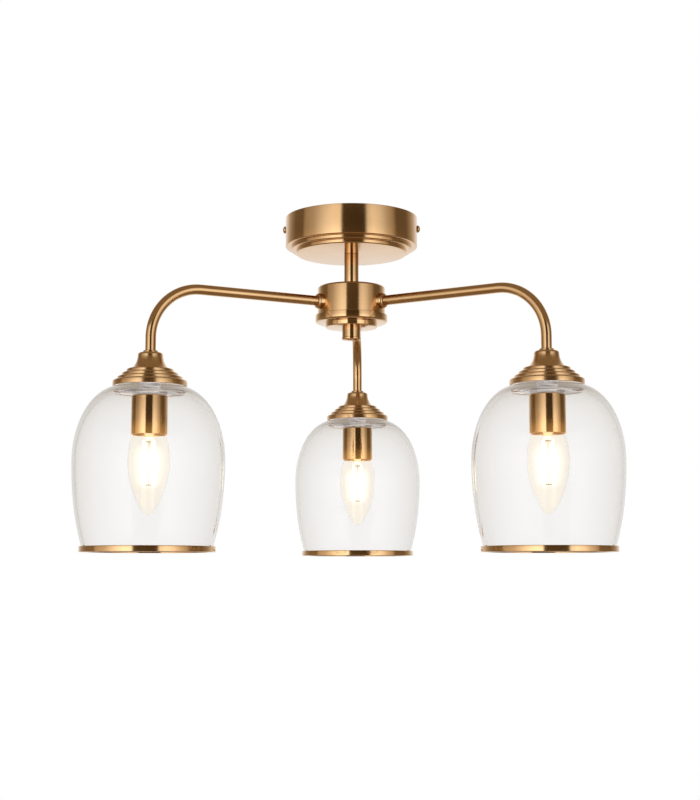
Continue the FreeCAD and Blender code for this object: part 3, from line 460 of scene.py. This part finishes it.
# Arms
# Brass tube, drawn smooth and bent once through a right angle, with a domed collar at the hub.
# Each is screwed into the hub and locked by a nut inside it.
ARM_TUBE = 4.5
ARM_BEND = 45.0
ARM_SINK = 1.0
ARM_SIDES = 48
ARM_RUN_STEPS = 12
ARM_BEND_STEPS = 28
COLLAR_RADIUS = 7.0
COLLAR_LENGTH = 5.0
COLLAR_SINK = 1.5
COLLAR_DOME = 2.1
SMALL_RING_SIDES = 64
lamp_axes = {}
for n in LAMPS:
    cap_low, cap_high = span(f"shade_cap_{n}")
    lamp_axes[n] = ((cap_low.x + cap_high.x) / 2, (cap_low.y + cap_high.y) / 2)
ends_low, ends_high = span("arm_end_rings")
arm_level = span("arm_1")[1].z - ARM_TUBE


def arm_line(reach):
    """Points along the arm's middle, as (distance out, height): a run, a quarter bend, a leg."""
    points = [(hub_radius - ARM_SINK, arm_level)]
    bend_start = reach - ARM_BEND
    for step in range(1, ARM_RUN_STEPS):
        out = hub_radius + (bend_start - hub_radius) * step / ARM_RUN_STEPS
        points.append((out, arm_level))
    for step in range(ARM_BEND_STEPS + 1):
        angle = math.pi / 2 * step / ARM_BEND_STEPS
        points.append((
            bend_start + ARM_BEND * math.sin(angle),
            arm_level - ARM_BEND + ARM_BEND * math.cos(angle)))
    points.append((reach, ends_high.z))
    return points


def add_tube(build, line, radius, way, sides):
    """Adds a round tube along a line in an upright plane that holds the given direction."""
    run_layer = run_layer_of(build)
    side = Vector((-way.y, way.x, 0))
    spots = [way * out + Vector((0, 0, height)) for out, height in line]
    run = 0.0
    rings = []
    for i, spot in enumerate(spots):
        before, after = spots[max(i - 1, 0)], spots[min(i + 1, len(spots) - 1)]
        run += (spot - before).length
        along = (after - before).normalized()
        rise = side.cross(along)
        ring = []
        for k in range(sides):
            angle = 2 * math.pi * k / sides
            spoke = side * math.cos(angle) + rise * math.sin(angle)
            vert = build.verts.new((spot + spoke * radius) * MM)
            vert[run_layer] = run
            ring.append(vert)
        rings.append(ring)
    for ring, after in zip(rings, rings[1:]):
        bridge(build, ring, after)
    build.faces.new(rings[0])
    build.faces.new(rings[-1])


tube_brass = turned_brass("tube_brass", gloss=0.16, groove=0.03)
for n, (x, y) in lamp_axes.items():
    reach = math.hypot(x, y)
    outward = Vector((x, y, 0)) / reach
    build = bmesh.new()
    add_tube(build, arm_line(reach), ARM_TUBE, outward, ARM_SIDES)
    arm = new_piece(f"arm_tube_{n}", build)
    fit(arm, tube_brass, "fixture", "brass", f"arm_{n}")

    collar = lathe(f"arm_ferrule_{n}", rounded([
        (ARM_TUBE, hub_radius - COLLAR_SINK),
        (COLLAR_RADIUS, hub_radius - COLLAR_SINK),
        (COLLAR_RADIUS, hub_radius + COLLAR_LENGTH, COLLAR_DOME),
        (ARM_TUBE, hub_radius + COLLAR_LENGTH),
    ]), sides=SMALL_RING_SIDES)
    lay = Vector((0, 0, 1)).rotation_difference(outward).to_matrix().to_4x4()
    collar.data.transform(Matrix.Translation((0, 0, arm_level * MM)) @ lay)
    fit(collar, polished_brass, "fixture", "brass", f"arm_collar_{n}")

# Shade caps
# Spun brass bells with a flared foot, three stepped rings and a deep flange over the glass.
# A ring at the end of each arm and a nut inside the bell clamp the cap to the arm.
CAP_WALL = 1.6
BELL_RADIUS = 10.5
BELL_EDGE = 2.0
BELL_HEIGHT = 14.1
BELL_FOOT = 16.0
BELL_FLARE = 17.2
CAP_RINGS = (19.8, 23.55, 27.3)
CAP_RING_HEIGHT = 3.2
CAP_RING_EDGE = 1.1
CAP_FLANGE_EDGE = 1.4
CAP_SEAT_DEPTH = 3.0
CAP_SEAT_WIDTH = 4.0
ARM_HOLE = 4.2
END_RING_EDGE = 0.6


def half_width(node):
    """The radius of a round node, in millimetres."""
    low, high = span(node)
    return (high.x - low.x) / 2


def bowed(start, finish, radius, steps=12):
    """Points of a short arc that hollows inward between two points of an outline."""
    start, finish = Vector(start), Vector(finish)
    chord = finish - start
    inward = Vector((-chord.y, chord.x)).normalized()
    centre = start + chord / 2 + inward * math.sqrt(radius ** 2 - chord.length_squared / 4)
    sweep = 2 * math.asin(chord.length / 2 / radius)
    points = []
    for step in range(steps + 1):
        points.append(centre + Matrix.Rotation(sweep * step / steps, 2) @ (start - centre))
    return points


def cap_outline(top, bottom, flange_radius):
    """A cap's outline, out over the bell, its rings and its flange, and back up inside."""
    foot = top - BELL_HEIGHT
    flange_top = foot - CAP_RING_HEIGHT * len(CAP_RINGS)
    seat = bottom + CAP_SEAT_DEPTH
    flange_inside = flange_radius - CAP_WALL
    bell_inside = BELL_RADIUS - CAP_WALL / 2
    flare = bowed((BELL_RADIUS, top - BELL_EDGE), (BELL_FOOT, foot), BELL_FLARE)
    corners = [(ARM_HOLE, top), (BELL_RADIUS, top, BELL_EDGE)]
    corners += [tuple(point) for point in flare]
    for i, radius in enumerate(CAP_RINGS):
        level = foot - CAP_RING_HEIGHT * i
        corners += [(radius, level, CAP_RING_EDGE), (radius, level - CAP_RING_HEIGHT)]
    corners += [
        (flange_radius, flange_top, CAP_FLANGE_EDGE),
        (flange_radius, bottom, FINE_EDGE),
        (flange_inside, bottom),
        (flange_inside, seat),
        (flange_inside - CAP_SEAT_WIDTH, seat),
        (BELL_FOOT - CAP_WALL, foot),
        (bell_inside, top - BELL_HEIGHT / 2),
        (bell_inside, top - CAP_WALL),
        (ARM_HOLE, top - CAP_WALL),
    ]
    return rounded(corners)


cap_brass = turned_brass("cap_brass", gloss=0.26, groove=0.10, brushing=0.6)
end_ring_radius = ends_high.y - lamp_axes[1][1]
for n, (x, y) in lamp_axes.items():
    cap_low, cap_high = span(f"shade_cap_{n}")
    outline = cap_outline(cap_high.z, cap_low.z, half_width(f"shade_cap_{n}"))
    cap = lathe(f"shade_bell_cap_{n}", outline, x, y)
    fit(cap, cap_brass, "fixture", "brass", f"shade_cap_{n}")

    end_ring = lathe(f"arm_end_ring_{n}", rounded([
        (ARM_HOLE, ends_high.z),
        (end_ring_radius, ends_high.z, END_RING_EDGE),
        (end_ring_radius, ends_low.z),
        (ARM_HOLE, ends_low.z),
    ]), x, y, sides=SMALL_RING_SIDES)
    ring_nodes = ["arm_end_rings"] if n == 1 else []
    fit(end_ring, polished_brass, "fixture", "brass", *ring_nodes)

# Washers round the glass
# Soft rings above and below the glass's heavy top, so that metal never bears on it.
# They are moulded in milky silicone.
washer_silicone = moulded_plastic(
    "silicone_washer", dark=(0.62, 0.61, 0.60), pale=(0.74, 0.73, 0.72), roughness=0.55, grain=0.2)
finish_nodes(["shade_upper_washers", "shade_lower_washers"], washer_silicone)

# Glass shades
# Clear blown glass, a bell with a heavy flat top that is drilled for the lampholder.
# It hangs between the cap and the lampholder's sleeve.
GLASS_WALL = 3.0
GLASS_SWELL = 39.0
GLASS_SHOULDER = 62.9
GLASS_TAPER = 109.0
GLASS_TOP = 8.2
GLASS_HOLE = 8.3
GLASS_NECK = 29.3
GLASS_SIDES = 192
SHOULDER_STEPS = 36
TAPER_STEPS = 30
GLASS_GLOSS = 0.45
GLASS_TINT = (0.79, 0.76, 0.72)
GLASS_DENSITY = 60.0
WAVE_DEPTH = 1.0
GROUND_DEPTH = 8.0
GROUND_MARGIN = 0.1
GROUND_AND_PAINTED_STREAK_DARK = (0.36, 0.35, 0.38)
GROUND_AND_PAINTED_STREAK_PALE = (1.0, 0.99, 1.0)
STREAK_CONTRAST = (-1.2, 2.2)
STREAK_SQUEEZE = (60.0, 60.0, 700.0)


def gloss_outside(node, feed, weight):
    """Gives a glass its surface gloss only where light meets it from the air."""
    within = node("ShaderNodeNewGeometry").outputs["Backfacing"]
    feed(spread(node, within, weight, 0.0), "Coat Weight")


def clear_glass(name, colour, roughness, wave, wave_scale, density=0.0, **light):
    """Clear glass, greyer where it is thick, with the slow waves that blowing leaves in it."""
    material, node, feed = new_material(
        name, Base_Color=(*colour, 1), Roughness=roughness, Transmission_Weight=1.0, IOR=1.06,
        Coat_IOR=1.5, Coat_Roughness=0.0, **light)
    gloss_outside(node, feed, GLASS_GLOSS)
    swirl = noise(node, own_place(node), Scale=wave_scale, Detail=2.0, Distortion=1.2)
    dent(node, feed, swirl, wave, WAVE_DEPTH)
    if density:
        depth = node("ShaderNodeVolumeAbsorption", {"Color": (*GLASS_TINT, 1), "Density": density})
        tree = material.node_tree
        tree.links.new(depth.outputs["Volume"], tree.nodes["Material Output"].inputs["Volume"])
    return material


def ground_glass_and_painted_glow():
    """The shade's heavy top, ground grey by the drill, with streaks painted to stand for the cup's
    inside seen through the thick glass, and a painted glow in the same streaks for the bulb's
    light.
    """
    material, node, feed = new_material(
        "ground_glass_and_painted_glow", Roughness=0.5, IOR=1.2, Emission_Strength=0.75)
    squeezed = node("ShaderNodeMapping", {"Vector": own_place(node), "Scale": STREAK_SQUEEZE})
    streak = noise(node, squeezed.outputs["Vector"], Scale=1.0, Detail=4.0, Distortion=0.8)
    # The grey streaks are partly the ground finish and partly painted refraction of the cup's
    # inside.
    tone = two_tone(node, spread(node, streak, *STREAK_CONTRAST), GROUND_AND_PAINTED_STREAK_DARK, GROUND_AND_PAINTED_STREAK_PALE)
    feed(tone, "Base Color")
    # The same streak tone also feeds the emission, a painted glow for the bulb's light in the
    # glass.
    feed(tone, "Emission Color")
    dent(node, feed, streak, strength=0.4, depth=0.6)
    return material


def ellipse(middle, centre, swell, rise, start, finish, steps):
    """Points of an ellipse about (centre, middle), by its angle from the upright."""
    points = []
    for i in range(steps + 1):
        angle = start + (finish - start) * i / steps
        points.append((centre + swell * math.sin(angle), middle + rise * math.cos(angle)))
    return points


def bell_side(middle, centre, swell, shoulder, taper, neck, mouth):
    """One side of the bell, from its neck round its widest level to its mouth."""
    widest = math.pi / 2
    top_angle = math.asin((neck - centre) / swell)
    mouth_angle = math.acos((middle - mouth) / taper)
    upper = ellipse(middle, centre, swell, shoulder, top_angle, widest, SHOULDER_STEPS)
    lower = ellipse(middle, centre, swell, -taper, widest, mouth_angle, TAPER_STEPS)
    return upper + lower[1:]


shade_glass = clear_glass(
    "shade_clear_glass", colour=(1.0, 1.0, 1.0), roughness=0.0, wave=0.002, wave_scale=10.0,
    density=GLASS_DENSITY)
shade_top_glass = ground_glass_and_painted_glow()
for n, (x, y) in lamp_axes.items():
    glass_low, glass_high = span(f"shade_glass_{n}")
    mouth = glass_low.z
    middle = span(f"shade_cap_{n}")[0].z - GLASS_SHOULDER
    centre = half_width(f"shade_glass_{n}") - GLASS_SWELL
    inner_top = glass_high.z - GLASS_TOP
    outer = bell_side(
        middle, centre, GLASS_SWELL, GLASS_SHOULDER, GLASS_TAPER, GLASS_NECK, mouth)
    inner = bell_side(
        middle, centre, GLASS_SWELL - GLASS_WALL, inner_top - middle, GLASS_TAPER - GLASS_WALL,
        centre, mouth)
    top = [(GLASS_HOLE, inner_top), (GLASS_HOLE, glass_high.z), (GLASS_NECK, glass_high.z)]
    bell = lathe(f"shade_bell_{n}", top + outer + inner[::-1], x, y, sides=GLASS_SIDES)
    fit(bell, shade_glass, "fixture", "clear_glass", f"shade_glass_{n}")
    bell.data.materials.append(shade_top_glass)
    for face in bell.data.polygons:
        high_up = face.center.z / MM > glass_high.z - GROUND_DEPTH
        if high_up and face.center.xy.length / MM < GLASS_NECK - GROUND_MARGIN:
            face.material_index = 1

# Shade rims
# A rolled brass band round each shade's mouth, with a lip turned in under the glass.
# It is polished bright and cemented on.
RIM_WALL = 2.1
RIM_FLOOR = 1.2
RIM_LIP = 3.2
RIM_EDGE = 0.4
for n, (x, y) in lamp_axes.items():
    rim_low, rim_high = span(f"shade_rim_{n}")
    outside = half_width(f"shade_rim_{n}")
    inside = outside - RIM_WALL
    rim_band = lathe(f"shade_band_{n}", rounded([
        (inside, rim_high.z),
        (outside, rim_high.z, RIM_EDGE),
        (outside, rim_low.z, RIM_EDGE),
        (inside - RIM_LIP, rim_low.z, FINE_EDGE),
        (inside - RIM_LIP, rim_low.z + RIM_FLOOR, FINE_EDGE),
        (inside, rim_low.z + RIM_FLOOR),
    ]), x, y)
    fit(rim_band, polished_brass, "fixture", "brass", f"shade_rim_{n}")

# Lampholders
# A moulded holder on the arm's end, with a thread shell and a centre contact for the bulb.
# A plain brass sleeve covers it and carries the glass.
SLEEVE_WALL = 1.0
HOLDER_HOLE = 7.7
SLEEVE_GLOW = (1.0, 0.5, 0.12)
SLEEVE_GLOW_STRENGTH = 0.22
SLEEVE_GLOW_HEIGHT = 14.0


def own_height(node):
    """How high each point of a piece lies."""
    return node("ShaderNodeSeparateXYZ", {"Vector": own_place(node)}).outputs["Z"]


def smooth_step(node, value, start, finish, low=0.0, high=1.0):
    """Goes smoothly from a low to a high value as another goes from start to finish."""
    return node("ShaderNodeMapRange", {
        "Value": value, "From Min": start, "From Max": finish, "To Min": low, "To Max": high,
    }, interpolation_type="SMOOTHSTEP").outputs["Result"]


def warm_from_below(material, bottom):
    """Adds the light that a lit bulb throws back on the metal above it, fading upward."""
    tree = material.node_tree
    node = node_adder(tree)
    shader = tree.nodes["Principled BSDF"]
    top = bottom + SLEEVE_GLOW_HEIGHT
    glow = smooth_step(node, own_height(node), bottom * MM, top * MM, SLEEVE_GLOW_STRENGTH, 0.0)
    shader.inputs["Emission Color"].default_value = (*SLEEVE_GLOW, 1)
    tree.links.new(glow, shader.inputs["Emission Strength"])


holder_moulding = moulded_plastic(
    "holder_moulding", dark=(0.018, 0.018, 0.020), pale=(0.035, 0.034, 0.033), roughness=0.42,
    grain=0.3)
finish_nodes([f"lampholder_{n}" for n in LAMPS], holder_moulding)
finish_nodes([f"lampholder_thread_{n}" for n in LAMPS], polished_brass)
finish_nodes(["lampholder_contacts"], polished_brass)
sleeve_brass = turned_brass("sleeve_brass", gloss=0.12, groove=0.02)
warm_from_below(sleeve_brass, span("lampholder_sleeve_1")[0].z)
for n, (x, y) in lamp_axes.items():
    sleeve_low, sleeve_high = span(f"lampholder_sleeve_{n}")
    outside = half_width(f"lampholder_sleeve_{n}")
    inside = outside - SLEEVE_WALL
    sleeve = lathe(f"holder_sleeve_{n}", rounded([
        (HOLDER_HOLE, sleeve_high.z),
        (outside, sleeve_high.z, SLEEVE_WALL),
        (outside, sleeve_low.z, TUBE_EDGE),
        (inside, sleeve_low.z, TUBE_EDGE),
        (inside, sleeve_high.z - SLEEVE_WALL),
        (HOLDER_HOLE, sleeve_high.z - SLEEVE_WALL),
    ]), x, y)
    fit(sleeve, sleeve_brass, "fixture", "brass", f"lampholder_sleeve_{n}")

# Bulbs
# Clear candle bulbs with a small nickel screw cap, cemented to the glass.
# Four straight filaments stand on wires round a glass stem and carry the light.
BULB_WALL = 0.8
BULB_RADIUS = 17.7
BULB_SHOULDER = 25.0
BULB_NECK = 7.9
BULB_SIDE = 78.2
BULB_NOSE = 5.5
BULB_SIDES = 128
BULB_TINT = (1.0, 0.975, 0.93)
BULB_GLOSS = 0.2
CAP_METAL = 0.8
CAP_SIDES = 96
NICKEL_DARK = (0.55, 0.53, 0.49)
NICKEL_PALE = (0.72, 0.70, 0.66)
NICKEL_GLOSS = (0.16, 0.36)
CROWN_RADIUS = 4.5
CROWN_HEIGHT = 2.9
CROWN_EDGE = 0.6
CROWN_PLAY = 0.1
THREAD_RADIUS = 6.9
THREAD_LENGTH = 13.5
THREAD_PITCH = 2.82
THREAD_DEPTH = 0.55
THREAD_STEPS = 48
THREAD_FOOT = 0.4
SKIRT_HEIGHT = 6.5
SKIRT_CURVE = 1.0
SKIRT_INNER_CURVE = 0.8
SKIRT_LIP_EDGE = 0.2
FILAMENT_WAYS = [math.radians(angle) for angle in (45, 135, 225, 315)]
FILAMENT_RADIUS = 0.9
FILAMENT_EDGE = 0.72
FILAMENT_RING = 5.5
FILAMENT_DROP = 9.0
FILAMENT_LENGTH = 38.0
FILAMENT_SIDES = 20
FILAMENT_LIGHT = (1.0, 0.78, 0.42)
FILAMENT_STRENGTH = 3.5
PHOSPHOR_DEEP = (0.85, 0.62, 0.22)
PHOSPHOR_PALE = (0.95, 0.75, 0.35)
WIRE_RADIUS = 0.35
WIRE_INSET = 1.0
WIRE_ROOT = 2.0
WIRE_SIDES = 12
STEM_RADIUS = 2.4
STEM_TIP = 1.92
STEM_PLAY = 0.2
STEM_PLUG = 1.5
STEM_SHOULDER = 1.0
STEM_FLARE = 12.0
LAMP_LIGHT = (1.0, 0.86, 0.58)
HAZE = 0.28
HAZE_LEAST = 0.014
HAZE_FALLOFF = 8.0
HAZE_FOOT = (-4.0, 7.0)
HAZE_HEAD = (-1.0, -14.0)


def candle_side(middle, radius, neck, side, nose):
    """One side of a candle bulb, from its neck over the shoulder to the tip on its axis."""
    shoulder_steps, side_steps, nose_steps = 24, 32, 10
    points = ellipse(middle, neck, radius - neck, BULB_SHOULDER, 0, math.pi / 2, shoulder_steps)
    drop = math.sqrt((side - nose) ** 2 - (side - radius) ** 2)
    slope = math.atan2(drop, side - radius)
    for i in range(1, side_steps + 1):
        angle = slope * i / side_steps
        points.append((radius - side + side * math.cos(angle), middle - side * math.sin(angle)))
    for i in range(1, nose_steps + 1):
        angle = slope + (math.pi / 2 - slope) * i / nose_steps
        points.append((nose * math.cos(angle), middle - drop - nose * math.sin(angle)))
    return points


def nickel():
    """Nickel-plated sheet, a little dulled by handling."""
    material, node, feed = new_material("bulb_nickel", Metallic=1.0)
    cloud = noise(node, own_place(node), Scale=260.0, Detail=4.0)
    feed(two_tone(node, cloud, NICKEL_DARK, NICKEL_PALE), "Base Color")
    feed(spread(node, cloud, *NICKEL_GLOSS), "Roughness")
    return material


def lit_filament():
    """Phosphor over the filaments, glowing warm white."""
    material, node, feed = new_material(
        "lit_filament", Roughness=0.5, Emission_Color=(*FILAMENT_LIGHT, 1),
        Emission_Strength=FILAMENT_STRENGTH)
    grain = noise(node, own_place(node), Scale=1500.0)
    feed(two_tone(node, grain, PHOSPHOR_DEEP, PHOSPHOR_PALE), "Base Color")
    return material


def lit_glass(name, top, bottom):
    """Bulb glass with the haze that the lit filaments throw on it, fading to edges and tip."""
    material, node, feed = new_material(
        name, Base_Color=(*BULB_TINT, 1), Roughness=0.10, Transmission_Weight=1.0, IOR=1.04,
        Coat_IOR=1.5, Coat_Roughness=0.02, Emission_Color=(*LAMP_LIGHT, 1))
    gloss_outside(node, feed, BULB_GLOSS)
    edge = node("ShaderNodeLayerWeight", {"Blend": 0.5}).outputs["Facing"]
    facing = arithmetic(node, "SUBTRACT", 1.0, edge)
    haze = arithmetic(node, "POWER", facing, HAZE_FALLOFF)
    height = own_height(node)
    for level, (near, far) in ((bottom, HAZE_FOOT), (top, HAZE_HEAD)):
        share = smooth_step(node, height, (level + near) * MM, (level + far) * MM)
        haze = arithmetic(node, "MULTIPLY", haze, share)
    feed(spread(node, haze, HAZE_LEAST, HAZE), "Emission Strength")
    return material


bulb_nickel = nickel()
filament_glow = lit_filament()
# The stem glass carries a faint warm painted glow, standing for the light it picks up from the
# filaments.
stem_glass = clear_glass(
    "stem_glass", colour=(0.99, 0.99, 0.99), roughness=0.02, wave=0.0, wave_scale=30.0,
    Emission_Color=(*LAMP_LIGHT, 1), Emission_Strength=0.35)
crown_glass = moulded_plastic(
    "crown_glass", dark=(0.010, 0.010, 0.012), pale=(0.022, 0.021, 0.022), roughness=0.15,
    grain=0.05)
cap_low, cap_high = span("bulb_cap_1")
neck_level = cap_low.z
crown_level = cap_high.z
thread_top = crown_level - CROWN_HEIGHT
skirt_top = thread_top - THREAD_LENGTH
flare_level = skirt_top - SKIRT_HEIGHT / 2
filament_top = neck_level - FILAMENT_DROP
filament_bottom = filament_top - FILAMENT_LENGTH
bulb_clear = lit_glass("bulb_clear_glass", filament_top, filament_bottom)


def thread(angle, radius, height):
    """The rolled thread's depth, which runs out at both ends of the shell."""
    if radius < THREAD_RADIUS - CAP_METAL / 2 or not skirt_top < height < thread_top:
        return 0.0
    fade = min(1.0, (thread_top - height) / THREAD_PITCH, (height - skirt_top) / THREAD_PITCH)
    wave = math.cos(2 * math.pi * height / THREAD_PITCH - angle) - 1
    return THREAD_DEPTH / 2 * wave * fade


for n, (x, y) in lamp_axes.items():
    body = f"bulb_{n}"
    shell_top = span(f"bulb_glass_{n}")[1].z
    middle = neck_level - BULB_SHOULDER
    neck_inside = BULB_NECK - BULB_WALL
    outer = candle_side(middle, BULB_RADIUS, BULB_NECK, BULB_SIDE, BULB_NOSE)
    inner = candle_side(
        middle, BULB_RADIUS - BULB_WALL, neck_inside, BULB_SIDE - BULB_WALL, BULB_NOSE - BULB_WALL)
    neck = [(neck_inside, shell_top), (BULB_NECK, shell_top)]
    envelope = lathe(f"bulb_envelope_{n}", neck + outer + inner[::-1], x, y, sides=BULB_SIDES)
    fit(envelope, bulb_clear, body, "bulb_glass", f"bulb_glass_{n}")

    skirt = half_width(f"bulb_cap_{n}")
    shell = [(CROWN_RADIUS, thread_top)]
    for step in range(THREAD_STEPS + 1):
        shell.append((THREAD_RADIUS, thread_top - THREAD_LENGTH * step / THREAD_STEPS))
    screw_cap = lathe(f"bulb_screw_cap_{n}", shell + rounded([
        (THREAD_RADIUS, skirt_top - THREAD_FOOT, FINE_EDGE),
        (skirt, flare_level, SKIRT_CURVE),
        (skirt, neck_level, SKIRT_LIP_EDGE),
        (skirt - CAP_METAL, neck_level),
        (skirt - CAP_METAL, flare_level, SKIRT_INNER_CURVE),
        (THREAD_RADIUS - CAP_METAL, skirt_top),
        (THREAD_RADIUS - CAP_METAL, thread_top - CAP_METAL),
        (CROWN_RADIUS, thread_top - CAP_METAL),
    ]), x, y, sides=CAP_SIDES, ripple=thread)
    fit(screw_cap, bulb_nickel, body, "bulb_metal", f"bulb_cap_{n}")
    crown = lathe(f"bulb_crown_{n}", rounded([
        (0.0, crown_level),
        (CROWN_RADIUS, crown_level, CROWN_EDGE),
        (THREAD_RADIUS - CROWN_PLAY, thread_top, FINE_EDGE),
        (0.0, thread_top),
    ]), x, y, sides=SMALL_RING_SIDES)
    fit(crown, crown_glass, body, "holder_plastic")
    finish_nodes([f"bulb_contact_{n}"], bulb_nickel)

    build = bmesh.new()
    for angle in FILAMENT_WAYS:
        foot = (FILAMENT_RING * math.cos(angle), FILAMENT_RING * math.sin(angle))
        add_turned(build, rounded([
            (0.0, filament_top),
            (FILAMENT_RADIUS, filament_top, FILAMENT_EDGE),
            (FILAMENT_RADIUS, filament_bottom, FILAMENT_EDGE),
            (0.0, filament_bottom),
        ]), FILAMENT_SIDES, foot)
    rods = new_piece(f"bulb_filaments_{n}", build, x, y)
    fit(rods, filament_glow, body, "filament", f"bulb_filament_{n}")

    flare = neck_inside - STEM_PLAY
    plug_top = neck_level + STEM_PLUG
    plug = [(0.0, plug_top), (flare, plug_top), (flare, neck_level)]
    trumpet = bowed((flare, neck_level), (STEM_RADIUS, filament_top + STEM_SHOULDER), STEM_FLARE)
    tip = [(STEM_TIP, filament_top), (0.0, filament_top)]
    stem = lathe(f"bulb_stem_{n}", plug + trumpet[1:] + tip, x, y, sides=SMALL_RING_SIDES)
    fit(stem, stem_glass, body, "bulb_glass")

    build = bmesh.new()
    upright = [(0.0, filament_top + WIRE_ROOT), (0.0, filament_bottom)]
    add_tube(build, upright, WIRE_RADIUS, Vector((1, 0, 0)), WIRE_SIDES)
    for angle in FILAMENT_WAYS:
        outward = Vector((math.cos(angle), math.sin(angle), 0))
        for level in (filament_top - WIRE_INSET, filament_bottom + WIRE_INSET):
            spoke = [(0.0, level), (FILAMENT_RING, level)]
            add_tube(build, spoke, WIRE_RADIUS, outward, WIRE_SIDES)
    wires = new_piece(f"bulb_wires_{n}", build, x, y)
    fit(wires, bulb_nickel, body, "bulb_metal")

# Stage and light
# A pale floor far below, where a room's floor would be, in front of a white backdrop.
# Two tall soft boxes stand either side of the camera, fade outward and leave a dark gap.
FLOOR_LEVEL = -2.4
FLOOR_SIZE = 14.0
DIM = (0.26, 0.19, 0.115)
WHITE = (1, 1, 1)
PURE_LEVEL = 0.9
BROWN_CURVE = 0.6
BROWN_GREEN = 0.62
BROWN_BLUE = 0.15
BACK_START = 0.2
BACK_FULL = 0.6
ONE_BOUNCE = 0.5
BEARING_LEVELS = (
    (-180, 1.0), (-152, 0.9), (-129, 0.42), (-112, 0.2), (-91, 0.18), (-86, 0.42), (-66, 0.56),
    (-54, 0.8), (-42, 1.08), (-31, 1.3), (-17, 1.3), (-14, 0.07), (26, 0.06), (29, 0.9),
    (40, 1.15), (53, 0.95), (66, 0.62), (79, 0.42), (86, 0.16), (112, 0.16), (129, 0.42),
    (152, 0.9), (180, 1.0),
)
FRONT_RISE = (
    (-1.0, 1.0, 0), (-0.56, 1.0, 0), (-0.44, 1.2, 1), (-0.05, 1.6, 1), (0.05, 1.55, 1),
    (0.18, 1.0, 1), (0.38, 1.0, 1), (0.46, 1.0, 0), (1.0, 1.0, 0),
)
BACK_RISE = ((-1.0, 0), (-0.80, 0), (-0.50, 1), (0.55, 1), (0.85, 0), (1.0, 0))

build = bmesh.new()
bmesh.ops.create_grid(build, x_segments=1, y_segments=1, size=FLOOR_SIZE / 2)
floor = new_piece("floor", build)
floor.location.z = FLOOR_LEVEL
floor_white = new_material(
    "pale_floor", Roughness=1.0, Emission_Color=(*WHITE, 1), Emission_Strength=1.0)[0]
floor.data.materials.append(floor_white)
floor.visible_glossy = False
floor.visible_transmission = False

world = bpy.data.worlds.new("surround")
bpy.context.scene.world = world
world.use_nodes = True
node = node_adder(world.node_tree)
direction = node("ShaderNodeTexCoord").outputs["Generated"]
toward = node("ShaderNodeSeparateXYZ", {"Vector": direction}).outputs
nearer = arithmetic(node, "MULTIPLY", toward["Y"], -1.0)
bearing = arithmetic(node, "ARCTAN2", toward["X"], nearer)


def ramp(value, low, high, stops):
    """A ramp over a range of values; each stop has a place, a colour and how much shows."""
    place = node("ShaderNodeMapRange", {"Value": value, "From Min": low, "From Max": high})
    made = node("ShaderNodeValToRGB", {"Fac": place.outputs["Result"]})
    elements = made.color_ramp.elements
    for stop in stops[1:-1]:
        elements.new((stop[0] - low) / (high - low))
    for element, (_, colour, share) in zip(elements, stops):
        element.color = (*colour, share)
    return made.outputs


def blend(kind, fac, first, second):
    """Mixes or multiplies two colours, either of which may be a plain value."""
    mixed = node("ShaderNodeMix", {"Factor": fac}, data_type="RGBA", blend_type=kind)
    for socket, colour in (("A", first), ("B", second)):
        if isinstance(colour, bpy.types.NodeSocket):
            world.node_tree.links.new(colour, mixed.inputs[socket])
        else:
            mixed.inputs[socket].default_value = (*colour, 1)
    return mixed.outputs["Result"]


def warm(level):
    """A grey that turns browner as it darkens."""
    part = min(level / PURE_LEVEL, 1.0) ** BROWN_CURVE
    green = BROWN_GREEN + (1 - BROWN_GREEN) * part
    blue = BROWN_BLUE + (1 - BROWN_BLUE) * part
    return (level, level * green, level * blue)


boxes = ramp(bearing, -math.pi, math.pi, [
    (math.radians(degrees), warm(level), 1) for degrees, level in BEARING_LEVELS])["Color"]
front = ramp(toward["Z"], -1.0, 1.0, [
    (rise, (gain, gain, gain), share) for rise, gain, share in FRONT_RISE])
back = ramp(toward["Z"], -1.0, 1.0, [(rise, WHITE, share) for rise, share in BACK_RISE])
front_boxes = blend("MULTIPLY", 1.0, boxes, front["Color"])
front_light = blend("MIX", front["Alpha"], DIM, front_boxes)
back_light = blend("MIX", back["Alpha"], DIM, boxes)
behind = smooth_step(node, toward["Y"], BACK_START, BACK_FULL)
around = blend("MIX", behind, front_light, back_light)
glossy_depth = node("ShaderNodeLightPath").outputs["Glossy Depth"]
bounced = arithmetic(node, "GREATER_THAN", glossy_depth, ONE_BOUNCE)
seen = blend("MIX", bounced, WHITE, around)
world.node_tree.links.new(seen, world.node_tree.nodes["Background"].inputs["Color"])

# Camera
# It stands a little below the shades' mouths, tipped up, and a touch to the right of the rear arm.
# Its lens gives the photograph's frame, 700 pixels wide.
PICTURE_WIDTH = 700
FOCAL_PIXELS = 1480
AXIS_SHIFT_PIXELS = 1.4
CAMERA_DISTANCE = 1.325
CAMERA_LEVEL = -0.3200
CAMERA_BEARING = math.radians(1.85)
CAMERA_PITCH = math.radians(6.61)
lens = bpy.data.cameras.new("camera")
lens.sensor_fit = "HORIZONTAL"
lens.lens = lens.sensor_width * FOCAL_PIXELS / PICTURE_WIDTH
lens.shift_x = -AXIS_SHIFT_PIXELS / PICTURE_WIDTH
camera = bpy.data.objects.new("camera", lens)
camera.location = (
    CAMERA_DISTANCE * math.sin(CAMERA_BEARING),
    -CAMERA_DISTANCE * math.cos(CAMERA_BEARING),
    CAMERA_LEVEL,
)
camera.rotation_euler = (math.pi / 2 + CAMERA_PITCH, 0, CAMERA_BEARING)
bpy.context.scene.collection.objects.link(camera)
bpy.context.scene.camera = camera
bpy.context.scene.view_settings.view_transform = "Standard"
